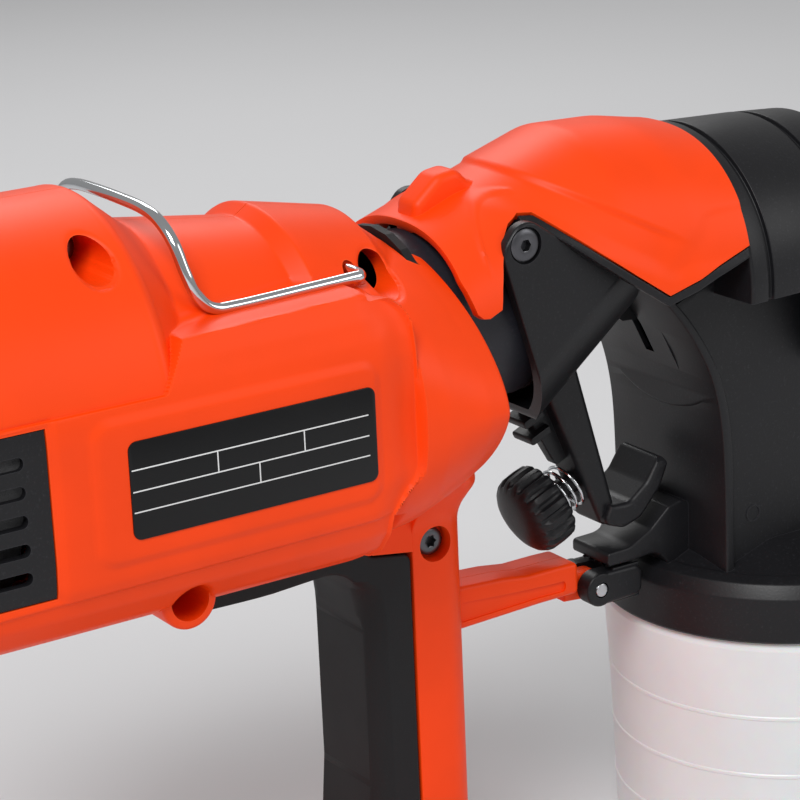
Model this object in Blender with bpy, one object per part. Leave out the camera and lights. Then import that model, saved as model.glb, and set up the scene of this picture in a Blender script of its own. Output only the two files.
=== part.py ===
"""Hand-held turbine paint sprayer: a motor unit with grip, and a gun with a hanging paint cup.

Sizes are millimetres here and metres in the meshes. The origin is the centre of the cup's underside,
+X points out of the nozzle, +Y to the sprayer's left side and +Z up.
"""
import bpy
import bmesh
from math import atan2, cos, hypot, pi, radians, sin
from mathutils import Matrix, Vector

MM = 0.001

# ---- shared clearances ----
gap = 0.3                 # between two fixed pieces that touch
slide_gap = 0.7           # between pieces that slide or turn past each other
split_gap = 0.15          # each housing half stops this far from the middle plane

# ---- main axis and cup ----
axis_z = 181.0            # height of the motor, air tube and nozzle axis
cup_base_radius = 49.5
cup_top_radius = 52.8
cup_neck_radius = 50.3
cup_wall = 1.6
lid_bottom_z = 78.5
lid_radius = 54.0
lid_height = 18.5
lid_wall = 3.0
lid_roof = 6.0
gasket_height = 2.2

# ---- motor housing ----
rear_end_x = -283.0
rear_block_front_x = -213.0
front_face_x = -131.0
barrel_half_width = 51.0
rear_block_up = 51.5
rear_block_down = 48.0
housing_wall = 3.0
rib_width = 8.0

# ---- handle, foot and latch arm ----
handle_front_x = -121.0
handle_split_x = -139.5
handle_rear_x = -153.0
handle_half_width = 16.0
grip_corner_radius = 13.0
foot_rear_x = -208.0
foot_front_x = -112.0
foot_half_width = 33.0
foot_top_z = 22.0
pad_height = 2.7
arm_half_width = 6.8
arm_top_z = 105.0
arm_bottom_z = 94.5
arm_end_x = -79.0

# ---- motor and turbine ----
stator_front_x = -176.0
stator_length = 38.0
stator_radius = 30.0
chamber_radius = stator_radius + 3.5
drum_radius = chamber_radius + 4.5
ridge_radius = drum_radius + 1.5
stator_bore = 23.8
armature_radius = 17.8
shaft_radius = 4.0
bearing_radius = 11.0
bearing_width = 7.0
impeller_radius = 30.0
impeller_width = 12.0
blade_count = 7
casing_depth = 20.0

# ---- gun ----
tube_radius = 24.6
tube_wall = 2.6
tube_rear_x = -142.0
shell_wall = 2.5
shell_rear_x = -129.6
nose_rear_x = -44.0
nose_radius = 40.0
nose_front_x = 22.0
body_half_width = 24.3
wall_half_width = 25.4
wall_thickness = 3.0
column_radius = 15.0
fluid_tube_radius = 8.5
fluid_bore_radius = 4.2
pickup_radius = 5.0
nozzle_bore = 1.25

# ---- trigger and flow knob ----
pivot_x = -109.0
pivot_z = 203.5
pivot_bore = 2.8
cheek_thickness = 3.0
trigger_roll = 24.0       # radius of the trigger's rounded underside
trigger_arm_half_width = 7.0
hook_half_width = 9.5
needle_radius = 1.5
knob_x = -92.8
knob_z = 117.8
knob_tilt = radians(22.8)
knob_radius = 11.8
knob_length = 9.8
knob_flutes = 18
flute_depth = 0.9
knob_to_arm = 18.6
stem_radius = 3.0
spring_coils = 3
spring_radius = 6.0
spring_wire = 0.42

# ---- latch, hanger and screws ----
latch_x = -72.0
latch_z = 94.0
latch_radius = 4.9
latch_half_width = 8.0
latch_reach = 14.5
latch_pin_radius = 2.0
lug_half_width = 2.6
hanger_x = -161.0
hanger_z = 206.2
hanger_half_width = barrel_half_width - 17.4
hanger_wire = 1.5
screw_recess_radius = 5.0
screw_head_radius = 3.9
screw_head_depth = 11.0
screw_radius = 1.9
boss_radius = 6.5
screw_places = {
    "housing_screw_rear_top": (-232.0, 221.5),
    "housing_screw_front_top": (-153.0, 204.0),
    "housing_screw_rear_low": (-218.0, 137.5),
    "housing_screw_handle": (-132.0, 124.5),
    "housing_screw_foot": (-158.0, 12.5),
}

# ---- rating plate and intake ----
plate_x = (-238.0, -171.0)
plate_z = (160.5, 183.5)
plate_thickness = 0.6
plate_seat_y = 1.0 - barrel_half_width
intake_front_x = -256.0
intake_z = (150.0, 191.0)
slot_count = 5
slot_height = 3.2

ring_points = 24          # corners of the large round sections


# ---------------------------------------------------------------- scene and materials
def clear_scene():
    for obj in list(bpy.data.objects):
        bpy.data.objects.remove(obj, do_unlink=True)


def make_material(name, color, roughness, metallic=0.0, alpha=1.0):
    material = bpy.data.materials.new(name)
    material.use_nodes = True
    shader = material.node_tree.nodes["Principled BSDF"]
    shader.inputs["Base Color"].default_value = (*color, 1.0)
    shader.inputs["Roughness"].default_value = roughness
    shader.inputs["Metallic"].default_value = metallic
    shader.inputs["Alpha"].default_value = alpha
    material.diffuse_color = (*color, alpha)
    return material


def make_materials():
    return {
        "orange": make_material("orange_plastic", (1.0, 0.09, 0.01), 0.42),
        "black": make_material("black_plastic", (0.014, 0.014, 0.016), 0.5),
        "slate": make_material("slate_plastic", (0.03, 0.03, 0.036), 0.5),
        "rubber": make_material("black_rubber", (0.02, 0.02, 0.02), 0.75),
        "plate": make_material("plate_black", (0.01, 0.01, 0.01), 0.3),
        "chrome": make_material("chrome_wire", (0.75, 0.75, 0.77), 0.12, 1.0),
        "steel": make_material("screw_steel", (0.2, 0.2, 0.21), 0.35, 1.0),
        "bright": make_material("bright_steel", (0.6, 0.6, 0.62), 0.25, 1.0),
        "copper": make_material("copper_winding", (0.6, 0.24, 0.1), 0.35, 1.0),
        "iron": make_material("laminated_iron", (0.25, 0.25, 0.26), 0.45, 1.0),
        "foam": make_material("filter_foam", (0.05, 0.05, 0.05), 0.95),
        "cup": make_material("cup_white", (0.82, 0.84, 0.85), 0.4, 0.0, 0.75),
        "white": make_material("white_plastic", (0.8, 0.8, 0.8), 0.4),
        "brass": make_material("brass", (0.75, 0.52, 0.2), 0.3, 1.0),
    }


# ---------------------------------------------------------------- mesh helpers
def object_from_bmesh(name, mesh_data):
    bmesh.ops.recalc_face_normals(mesh_data, faces=mesh_data.faces)
    mesh = bpy.data.meshes.new(name)
    mesh_data.to_mesh(mesh)
    mesh_data.free()
    obj = bpy.data.objects.new(name, mesh)
    bpy.context.scene.collection.objects.link(obj)
    return obj


def loft(name, rings):
    """A closed solid through rings of points, with flat ends."""
    data = bmesh.new()
    rows = [[data.verts.new(Vector(point) * MM) for point in ring] for ring in rings]
    count = len(rows[0])
    for first, second in zip(rows, rows[1:]):
        for i in range(count):
            j = (i + 1) % count
            data.faces.new((first[i], first[j], second[j], second[i]))
    data.faces.new(rows[0])
    data.faces.new(rows[-1])
    return object_from_bmesh(name, data)


def prism(name, outline, axis, low, high):
    """An outline pushed along one axis. The outline's two values are the other axes in X, Y, Z order."""
    place = {
        "x": lambda a, b, c: (c, a, b),
        "y": lambda a, b, c: (a, c, b),
        "z": lambda a, b, c: (a, b, c),
    }[axis]
    return loft(name, [[place(a, b, level) for a, b in outline] for level in (low, high)])


def box(name, x, y, z):
    corners = [(x[0], y[0]), (x[1], y[0]), (x[1], y[1]), (x[0], y[1])]
    return prism(name, corners, "z", z[0], z[1])


def turned(name, profile, centre, direction, segments=24):
    """A turned solid from (along, radius) points; a profile that stays off the axis is a closed ring."""
    along = Vector(direction).normalized()
    side = along.orthogonal().normalized()
    other = along.cross(side)
    start = Vector(centre)
    data = bmesh.new()
    rows = []
    for distance, radius in profile:
        middle = start + along * distance
        if radius < 1e-6:
            rows.append([data.verts.new(middle * MM)])
            continue
        angles = [2 * pi * i / segments for i in range(segments)]
        rows.append([data.verts.new((middle + (side * cos(a) + other * sin(a)) * radius) * MM)
                     for a in angles])
    pairs = list(zip(rows, rows[1:]))
    if len(rows[0]) > 1 and len(rows[-1]) > 1:
        pairs.append((rows[-1], rows[0]))
    for first, second in pairs:
        for i in range(segments):
            j = (i + 1) % segments
            corners = [first[i % len(first)], first[j % len(first)], second[j % len(second)],
                       second[i % len(second)]]
            unique = list(dict.fromkeys(corners))
            if len(unique) > 2:
                data.faces.new(unique)
    return object_from_bmesh(name, data)


def rod(name, radius, centre, direction, length, segments=20):
    return turned(name, [(0, 0), (0, radius), (length, radius), (length, 0)], centre, direction, segments)


def pipe(name, inner, outer, centre, direction, length, segments=24):
    profile = [(0, inner), (0, outer), (length, outer), (length, inner)]
    return turned(name, profile, centre, direction, segments)


def rounded(corners, steps=3):
    """Outline points for corners given as (a, b, radius)."""
    points = []
    count = len(corners)
    for i, (a, b, radius) in enumerate(corners):
        here = Vector((a, b))
        before = Vector(corners[i - 1][:2]) - here
        after = Vector(corners[(i + 1) % count][:2]) - here
        half_angle = before.angle(after) / 2
        if radius <= 0:
            points.append((a, b))
            continue
        reach = min(radius * cos(half_angle) / sin(half_angle), 0.49 * before.length, 0.49 * after.length)
        radius = reach * sin(half_angle) / cos(half_angle)
        middle = here + (before.normalized() + after.normalized()).normalized() * radius / sin(half_angle)
        start = here + before.normalized() * reach - middle
        end = here + after.normalized() * reach - middle
        turn = atan2(start.x * end.y - start.y * end.x, start.dot(end))
        for step in range(steps + 1):
            angle = turn * step / steps
            points.append((middle.x + start.x * cos(angle) - start.y * sin(angle),
                           middle.y + start.x * sin(angle) + start.y * cos(angle)))
    return points


def oval(x, middle_z, half_width, up, down, power_up=2.0, power_down=2.0):
    """A ring across X whose upper and lower halves have their own height and squareness."""
    points = []
    for i in range(ring_points):
        angle = 2 * pi * i / ring_points
        c, s = cos(angle), sin(angle)
        power = power_up if s >= 0 else power_down
        height = up if s >= 0 else down
        y = half_width * abs(c) ** (2 / power) * (1 if c >= 0 else -1)
        z = height * abs(s) ** (2 / power) * (1 if s >= 0 else -1)
        points.append((x, y, middle_z + z))
    return points


def is_closed(mesh):
    data = bmesh.new()
    data.from_mesh(mesh)
    closed = all(len(edge.link_faces) == 2 for edge in data.edges)
    data.free()
    return closed


def combine(target, tool, operation):
    """Joins, cuts or keeps the common part, and takes the tool away."""
    modifier = target.modifiers.new("combine", "BOOLEAN")
    modifier.operation = operation
    modifier.object = tool
    for solver in ("EXACT", "MANIFOLD"):
        modifier.solver = solver
        evaluated = target.evaluated_get(bpy.context.evaluated_depsgraph_get())
        result = bpy.data.meshes.new_from_object(evaluated)
        if is_closed(result):
            break
    target.modifiers.clear()
    target.data = result
    bpy.data.objects.remove(tool, do_unlink=True)
    return target


def join(target, *tools):
    for tool in tools:
        combine(target, tool, "UNION")
    return target


def cut(target, *tools):
    for tool in tools:
        combine(target, tool, "DIFFERENCE")
    return target


def keep(target, tool):
    return combine(target, tool, "INTERSECT")


def copy_of(obj, name):
    twin = obj.copy()
    twin.data = obj.data.copy()
    twin.name = name
    bpy.context.scene.collection.objects.link(twin)
    return twin


def finish(obj, material, origin=(0, 0, 0), sharp_angle=35):
    """Gives the material, puts the origin on the joint's axis and shades the piece smooth."""
    offset = Vector(origin) * MM
    if obj.type == "MESH":
        obj.data.transform(Matrix.Translation(-offset))
        obj.data.shade_smooth()
        obj.data.set_sharp_from_angle(angle=radians(sharp_angle))
    obj.location = offset
    obj.data.materials.clear()
    obj.data.materials.append(material)
    return obj


def wire(name, points, radius, resolution, origin=(0, 0, 0)):
    curve = bpy.data.curves.new(name, "CURVE")
    curve.dimensions = "3D"
    curve.bevel_depth = radius * MM
    curve.bevel_resolution = resolution
    curve.use_fill_caps = True
    spline = curve.splines.new("POLY")
    spline.points.add(len(points) - 1)
    for slot, point in zip(spline.points, points):
        slot.co = (*((Vector(point) - Vector(origin)) * MM), 1.0)
    obj = bpy.data.objects.new(name, curve)
    bpy.context.scene.collection.objects.link(obj)
    return obj


def smooth_path(keys, steps):
    """Points on a smooth curve through the key points."""
    keys = [Vector(key) for key in keys]
    padded = [keys[0] * 2 - keys[1], *keys, keys[-1] * 2 - keys[-2]]
    points = []
    for before, start, end, after in zip(padded, padded[1:], padded[2:], padded[3:]):
        for step in range(steps):
            t = step / steps
            square = 2 * before - 5 * start + 4 * end - after
            cube = 3 * start - before - 3 * end + after
            points.append(0.5 * (2 * start + (end - before) * t + square * t * t + cube * t ** 3))
    points.append(keys[-1])
    return points


# ---------------------------------------------------------------- motor housing
def rear_block(name, inset=0.0):
    """The round rear of the barrel; an inset gives its inside."""
    rows = [(rear_end_x, 7.0, 7.5), (rear_end_x + 2.5, 3.0, 3.5), (rear_end_x + 8, 0.5, 0.5),
            (rear_block_front_x - 5, 0, 0), (rear_block_front_x, 5, 7)]
    rings = [oval(x, axis_z, barrel_half_width - side - inset, rear_block_up - top - inset,
                  rear_block_down - top - inset, 2.0, 2.2) for x, side, top in rows]
    return loft(name, rings)


def mid_block(name, inset, x_range):
    """The wide lower part of the barrel, whose top is the ledge beside the drum."""
    half_width = barrel_half_width - inset
    rings = [oval(x, 172, half_width, 33 - inset, 39.5 - inset, 4.0, 2.6) for x in x_range]
    return loft(name, rings)


def front_block(name):
    return loft(name, [oval(-160, 172, barrel_half_width, 38, 39.5, 2.6, 2.6),
                       oval(-150, 171.5, barrel_half_width, 41.5, 40, 2.2, 2.2),
                       oval(-138, 166.5, 50.6, 43, 38, 2.0, 1.7),
                       oval(front_face_x, 164.5, 49.6, 42.5, 36, 2.0, 1.6)])


def drum(name):
    rings = [(-218, drum_radius + 4), (-177, drum_radius - 1), (-172, ridge_radius),
             (-151, ridge_radius - 4),
             (-146, drum_radius - 5)]
    return turned(name, [(0, 0)] + [(x + 218, radius) for x, radius in rings] + [(72, 0)],
                  (-218, 0, axis_z), (1, 0, 0), ring_points)


def handle_solid(name):
    outline = rounded([(handle_split_x, -handle_half_width, 1), (handle_front_x, -handle_half_width, 9),
                       (handle_front_x, handle_half_width, 9), (handle_split_x, handle_half_width, 1)])
    return prism(name, outline, "z", foot_top_z - 4, 140)


def foot_outline(inset):
    rear, front, side = foot_rear_x + inset, foot_front_x - inset, foot_half_width - inset
    return rounded([(rear, -side, 14), (front, -side, 14), (front, side, 14), (rear, side, 14)])


def foot_solid(name):
    low = pad_height + gap
    levels = [(low, 0.6), (low + 2, 0), (foot_top_z - 6, 0), (foot_top_z - 1, 5), (foot_top_z, 9)]
    return loft(name, [[(x, y, z) for x, y in foot_outline(inset)] for z, inset in levels])


def arm_solid(name):
    """The arm that carries the latch: it dips under the flow knob and ends in a thin lug for the pin."""
    outline = [(-126, arm_top_z + 1.5), (-104, arm_top_z), (-96, arm_top_z - 1.2), (-86, arm_top_z - 1.2),
               (arm_end_x, arm_top_z - 1.4), (arm_end_x, arm_bottom_z), (-92, arm_bottom_z),
               (-126, arm_bottom_z - 1)]
    arm = prism(name, outline, "y", -arm_half_width, arm_half_width)
    lug = rounded([(arm_end_x - 2, latch_z + 4.2, 0), (latch_x + 4.2, latch_z + 4.2, 4),
                   (latch_x + 4.2, latch_z - 4.2, 4), (arm_end_x - 2, latch_z - 3.0, 0)])
    return join(arm, prism("lug", lug, "y", -lug_half_width, lug_half_width))


def room_beside_bosses(room):
    """Leaves the screw bosses standing in a hollow of the housing."""
    for x, z in screw_places.values():
        cut(room, rod("boss", boss_radius, (x, -60, z), (0, 1, 0), 120, 16))
    return room


def housing_halves(materials):
    outer = rear_block("housing")
    join(outer, mid_block("mid", 0.0, (-216, -158)), drum("drum"), front_block("front"),
         handle_solid("handle"), foot_solid("foot"), arm_solid("arm"))
    cut(outer, *housing_cavities())
    cut(outer, *housing_openings())
    left = copy_of(outer, "housing_left")
    outer.name = "housing_right"
    keep(outer, box("right_side", (-320, -60), (-80, -split_gap), (-10, 260)))
    keep(left, box("left_side", (-320, -60), (split_gap, 80), (-10, 260)))
    finish(outer, materials["orange"])
    finish(left, materials["orange"])


def housing_cavities():
    rear_ribs_x = (-247.0, -224.0)
    rear_room = keep(rear_block("rear_room", housing_wall),
                     box("rear_room_x", (rear_end_x + housing_wall, rear_ribs_x[0]), (-60, 60), (100, 260)))
    turbine_room = keep(rear_block("turbine_room", housing_wall),
                        box("turbine_room_x", (rear_ribs_x[0] + 6, rear_ribs_x[1]), (-60, 60), (100, 260)))
    bore = rod("bore", chamber_radius, (rear_ribs_x[0] - 1, 0, axis_z), (1, 0, 0), 86, ring_points)
    plenum = turned("plenum", [(0, 0), (0, chamber_radius), (22, tube_radius + slide_gap), (23, 0)],
                    (-163, 0, axis_z), (1, 0, 0), ring_points)
    rooms = [mid_block("mid_room", housing_wall, x_range)
             for x_range in ((-201, -189), (-179, -164))]
    room_half_width = handle_half_width - housing_wall
    handle_room = box("handle_room", (handle_split_x + 3, handle_front_x - 3),
                      (-room_half_width, room_half_width),
                      (16, 138))
    foot_room = box("foot_room", (foot_rear_x + 6, foot_front_x - 6), (-26, 26), (6, 17))
    hollows = [rear_room, turbine_room, plenum, *rooms, handle_room, foot_room]
    return [bore, *(room_beside_bosses(hollow) for hollow in hollows)]


def housing_openings():
    tools = [rod("outlet", tube_radius + slide_gap, (-142, 0, axis_z), (1, 0, 0), 20, ring_points),
             rod("seal_groove", tube_radius + 3, (-138, 0, axis_z), (1, 0, 0), 3, ring_points)]
    for x, z in screw_places.values():
        tools.append(rod("recess", screw_recess_radius, (x, -70, z), (0, 1, 0), 70 - screw_head_depth, 20))
        tools.append(rod("screw_hole", screw_radius + 0.5, (x, -screw_head_depth - 1, z), (0, 1, 0),
                         screw_head_depth + 12, 10))
    for side in (-1, 1):
        tools.append(rod("hanger_hole", hanger_wire + 0.5, (hanger_x, side * 60, hanger_z), (0, -side, 0),
                         36, 12))
    tools.append(rod("pin_hole", latch_pin_radius + gap, (latch_x, -20, latch_z), (0, 1, 0), 40, 12))
    tools.append(box("plate_pocket", (plate_x[0] - gap, plate_x[1] + gap),
                     (plate_seat_y - 10, plate_seat_y),
                     (plate_z[0] - gap, plate_z[1] + gap)))
    tools.append(box("intake_window", (-300, intake_front_x), (-80, 80), intake_z))
    tools.append(box("switch_hole", (-300, -270), (-9.8, 9.8), (202.7, 217.3)))
    tools.append(rod("gland_hole", 5.8, (foot_rear_x - 10, 0, 12.5), (1, 0, 0), 30, 24))
    return tools


def filter_cover(materials):
    cover = rear_block("filter_cover")
    keep(cover, box("cover_range", (-300, intake_front_x - gap), (-80, 80),
                    (intake_z[0] + gap, intake_z[1] - gap)))
    inside = keep(rear_block("cover_inside", housing_wall),
                  box("inside_range", (rear_end_x + 3, -200), (-80, 80), (100, 260)))
    cut(cover, inside)
    pitch = (intake_z[1] - intake_z[0]) / (slot_count + 1)
    for i in range(slot_count):
        z = intake_z[0] + pitch * (i + 1)
        heights = (z - slot_height / 2, z + slot_height / 2)
        cut(cover, box("side_slot", (rear_end_x + 9, intake_front_x - 6), (-80, 80), heights),
            box("rear_slot", (-300, rear_end_x + 6), (-28, 28), heights))
    finish(cover, materials["black"])
    foam = keep(rear_block("air_filter", housing_wall + gap),
                box("foam_range", (rear_end_x + housing_wall + gap, -262), (-80, 80),
                    (intake_z[0] + 1, intake_z[1] - 1)))
    finish(foam, materials["foam"])


def grip_and_foot(materials):
    split = handle_split_x - gap
    outline = rounded([(split, 128.2, 0), (-150, 130.9, 0), (-162, 132, 0), (-212, 132, 1),
                       (-215, 127, 2), (-212, 120.5, 2),
                       (handle_rear_x - 4, 124, 12), (handle_rear_x, 105, 20), (handle_rear_x, 60, 20),
                       (handle_rear_x - 4, foot_top_z + gap, 1), (split, foot_top_z + gap, 0)])
    grip = prism("grip_back", outline, "y", -handle_half_width, handle_half_width)
    radius = grip_corner_radius
    for side in (-1, 1):
        y = side * handle_half_width
        corner = [(handle_rear_x - 6, y + side), (handle_rear_x - 6, y - side * radius)]
        for i in range(7):
            angle = pi / 2 * i / 6
            corner.append((handle_rear_x + radius * (1 - cos(angle)), y - side * radius * (1 - sin(angle))))
        corner.append((handle_rear_x + radius, y + side))
        cut(grip, prism("corner", corner, "z", foot_top_z - 1, 116))
    finish(grip, materials["rubber"])
    pad = prism("foot_pad", foot_outline(1.5), "z", 0, pad_height)
    finish(pad, materials["rubber"])
    profile = [(0, 3.3), (0, 4.6), (12, 5.5), (12, 8.5), (13.7, 8.5), (13.7, 5.5), (20, 5.5), (20, 3.3)]
    gland = turned("cord_gland", profile, (foot_rear_x - 14, 0, 12.5), (1, 0, 0), 16)
    finish(gland, materials["rubber"])


def rating_plate(materials):
    outline = rounded([(plate_x[0], plate_z[0], 2.2), (plate_x[1], plate_z[0], 2.2),
                       (plate_x[1], plate_z[1], 2.2),
                       (plate_x[0], plate_z[1], 2.2)])
    back_y = plate_seat_y - gap
    plate = prism("rating_plate", outline, "y", back_y - plate_thickness, back_y)
    finish(plate, materials["plate"])


def housing_screws(materials):
    for name, (x, z) in screw_places.items():
        profile = [(0, 0), (0, screw_head_radius), (2.4, screw_head_radius), (2.4, screw_radius),
                   (20, screw_radius), (22, 0)]
        screw = turned(name, profile, (x, -screw_head_depth - gap - 2.4, z), (0, 1, 0), 12)
        cut(screw, rod("socket", 1.7, (x, -screw_head_depth - gap - 3, z), (0, 1, 0), 2.0, 6))
        finish(screw, materials["steel"])


def power_switch(materials):
    hinge_x, hinge_z = rear_end_x + 1.5, 210.0
    body = box("power_switch", (rear_end_x - 0.3 - 1.4, rear_end_x - 0.3), (-11.5, 11.5), (201, 219))
    join(body, box("switch_block", (rear_end_x - 1, rear_end_x + 15), (-9.4, 9.4), (203.1, 216.9)))
    cut(body, box("switch_pocket", (rear_end_x - 5, rear_end_x + 8), (-7.6, 7.6), (204.6, 215.4)))
    finish(body, materials["black"])
    outline = [(rear_end_x - 3.9, 206.0), (rear_end_x - 1.9, 210), (rear_end_x - 1.9, 214.2),
               (hinge_x + 2.5, 213.4),
               (hinge_x + 4.5, hinge_z), (hinge_x + 2.5, 206.4), (rear_end_x, 205.8)]
    rocker = prism("switch_rocker", outline, "y", -7.2, 7.2)
    finish(rocker, materials["rubber"], (hinge_x, 0, hinge_z))


# ---------------------------------------------------------------- motor and turbine
def motor(materials):
    front, rear = stator_front_x, stator_front_x - stator_length
    stator = pipe("motor_stator", stator_bore, stator_radius, (rear, 0, axis_z), (1, 0, 0), stator_length,
                  ring_points)
    finish(stator, materials["iron"])
    coils = pipe("field_coils", armature_radius + 0.8, stator_bore - gap, (rear - 3, 0, axis_z), (1, 0, 0),
                 stator_length + 3.7, ring_points)
    finish(coils, materials["copper"])
    for name, x in (("motor_mount_rear", -211 + 1), ("motor_mount_front", -189 + 1)):
        mount = pipe(name, stator_radius + gap, chamber_radius - gap, (x, 0, axis_z), (1, 0, 0),
                     rib_width, ring_points)
        finish(mount, materials["rubber"])
    skirt = [(0, 27), (0, stator_radius), (10, stator_radius), (10, 14), (14, 14), (14, 6),
             (12.5, 6), (12.5, bearing_radius + gap), (6.5, bearing_radius + gap), (6.5, 27)]
    end_frame = turned("motor_end_frame", skirt, (front + gap, 0, axis_z), (1, 0, 0))
    finish(end_frame, materials["black"])
    armature = pipe("armature", shaft_radius + gap, armature_radius, (rear + 1, 0, axis_z), (1, 0, 0),
                    stator_length - 2)
    for i in range(8):
        angle = 2 * pi * i / 8
        slot = box("slot", (rear - 2, front + 2), (armature_radius - 4, armature_radius + 2), (-0.7, 0.7))
        slot.data.transform(Matrix.Translation((0, 0, axis_z * MM)) @ Matrix.Rotation(angle, 4, "X"))
        cut(armature, slot)
    finish(armature, materials["iron"], (0, 0, axis_z))
    commutator = pipe("commutator", shaft_radius + gap, 9.5, (front - 0.4, 0, axis_z), (1, 0, 0), 6.2, 16)
    finish(commutator, materials["copper"], (0, 0, axis_z))
    for name, side in (("brush_holder_right", -1), ("brush_holder_left", 1)):
        y = sorted((side * 10.0, side * 20.0))
        holder = box(name, (front + 1.2, front + 6.4), y, (axis_z - 3.5, axis_z + 3.5))
        finish(holder, materials["brass"])
    shaft = rod("motor_shaft", shaft_radius, (-243, 0, axis_z), (1, 0, 0), 79, 20)
    finish(shaft, materials["bright"], (0, 0, axis_z))
    for name, x in (("bearing_front", front + 7.1), ("bearing_rear", -224.0)):
        width = 5.2 if name == "bearing_front" else bearing_width
        bearing = pipe(name, shaft_radius + gap, bearing_radius, (x, 0, axis_z), (1, 0, 0), width)
        finish(bearing, materials["bright"])


def turbine(materials):
    outer = chamber_radius - gap
    plate_x_front = -224.0
    front = turned("turbine_casing_front",
                   [(-casing_depth, outer - 2), (-casing_depth, outer), (3, outer), (3, 14), (8.5, 14),
                    (8.5, 6),
                    (7.3, 6), (7.3, bearing_radius + gap), (0, bearing_radius + gap), (0, outer - 2)],
                   (plate_x_front, 0, axis_z), (1, 0, 0), ring_points)
    for i in range(6):
        angle = 2 * pi * i / 6
        centre = (plate_x_front - 2, 25 * cos(angle), axis_z + 25 * sin(angle))
        cut(front, rod("air_hole", 5.0, centre, (1, 0, 0), 8, 8))
    finish(front, materials["bright"])
    rear = pipe("turbine_casing_rear", 14, outer, (plate_x_front - casing_depth - 2.5 - gap, 0, axis_z),
                (1, 0, 0), 2.5,
                ring_points)
    finish(rear, materials["bright"])
    impeller = pipe("impeller", shaft_radius + gap, 9, (plate_x_front - 16, 0, axis_z), (1, 0, 0),
                    impeller_width)
    join(impeller, pipe("disc", 8, impeller_radius, (plate_x_front - 7, 0, axis_z), (1, 0, 0), 2, 24))
    for i in range(blade_count):
        blade = box("blade", (plate_x_front - 15, plate_x_front - 6), (7, impeller_radius - 1), (-0.8, 0.8))
        turn = Matrix.Rotation(2 * pi * i / blade_count, 4, "X") @ Matrix.Rotation(radians(18), 4, "X")
        blade.data.transform(Matrix.Translation((0, 0, axis_z * MM)) @ turn)
        join(impeller, blade)
    finish(impeller, materials["bright"], (0, 0, axis_z))
    seal = pipe("coupling_seal", tube_radius + 0.3, tube_radius + 2.7, (-137.7, 0, axis_z), (1, 0, 0),
                2.4, ring_points)
    finish(seal, materials["rubber"])


# ---------------------------------------------------------------- hanger and latch
def hanger(materials):
    y = hanger_half_width
    side = [(hanger_x, y - 8.1, hanger_z), (hanger_x, y - 3.1, hanger_z),
            (hanger_x - 1.2, y - 0.4, hanger_z),
            (hanger_x - 4, y, hanger_z), (-178, y, hanger_z - 0.4), (-197, y, hanger_z - 0.9),
            (-203.5, y, hanger_z - 0.2), (-207.5, y - 0.3, hanger_z + 3.8), (-209.4, y - 1.2, hanger_z + 9),
            (-210.6, y - 4, hanger_z + 16), (-211.2, y - 9.5, hanger_z + 20.5),
            (-211.4, 0.5 * y, hanger_z + 22.2),
            (-211.4, 0.2 * y, hanger_z + 22.6)]
    keys = [(x, -y, z) for x, y, z in side] + side[::-1]
    hook = wire("hanger_wire", smooth_path(keys, 2), hanger_wire, 1, (hanger_x, 0, hanger_z))
    finish(hook, materials["chrome"], (hanger_x, 0, hanger_z))


def latch(materials):
    lever = rod("latch_lever", latch_radius, (latch_x, -latch_half_width, latch_z),
                (0, 1, 0), 2 * latch_half_width, 20)
    paddle = rounded([(latch_x, latch_z - latch_radius, 0),
                      (latch_x + latch_reach, latch_z - latch_radius, 3),
                      (latch_x + latch_reach, latch_z + latch_radius, 3),
                      (latch_x, latch_z + latch_radius, 0)])
    join(lever, prism("paddle", paddle, "y", -latch_half_width, latch_half_width))
    slot = rod("slot", 6.6, (latch_x, -lug_half_width - gap, latch_z), (0, 1, 0),
               2 * (lug_half_width + gap), 20)
    cut(lever, slot, rod("pin_hole", latch_pin_radius + gap, (latch_x, -20, latch_z), (0, 1, 0), 40, 12))
    finish(lever, materials["black"], (latch_x, 0, latch_z))
    pin = rod("latch_pin", latch_pin_radius, (latch_x, -latch_half_width - 0.2, latch_z), (0, 1, 0),
              2 * latch_half_width + 0.4, 12)
    finish(pin, materials["bright"], (latch_x, 0, latch_z))


# ---------------------------------------------------------------- gun
shell_sections = ((-131, 27.0, 33.0), (-101, 38.5, 33.5), (-80, 45.0, 36.0), (-60, 44.0, 39.0),
                  (nose_rear_x, 41.0, 41.0))


def shell_loft(name, inset, rear_x=-131.5):
    rings = []
    for x, up, half_width in shell_sections:
        rings.append(oval(max(x, rear_x), axis_z, half_width - inset, up - inset,
                          half_width - inset, 2.3, 2.3))
    return loft(name, rings)


shell_edge = ((-125.6, 188.0), (-118.4, 190.6), (-118.2, 206.0), (-114.6, 211.4), (-107.0, 213.2),
              (-65.6, 184.0), (nose_rear_x - gap, 190.3))


def gun_shell(materials):
    shell = cut(shell_loft("gun_shell", 0.0), shell_loft("shell_inside", shell_wall, -140))
    side_view = list(shell_edge) + [(nose_rear_x - gap, 191), (nose_rear_x - gap, 240), (shell_rear_x, 240),
                                    (shell_rear_x, 202)]
    keep(shell, prism("side_view", side_view, "y", -60, 60))
    finish(shell, materials["orange"])


def rear_wall_line(offset):
    return [(x + offset, z) for x, z in ((-63.5, 180.8), (-56.5, 172.5), (-50.6, 163.6), (-45.6, 153.0),
                                         (-42.6, 139.0), (-41.6, 120.0), (-41.5, 94.0))]


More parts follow.
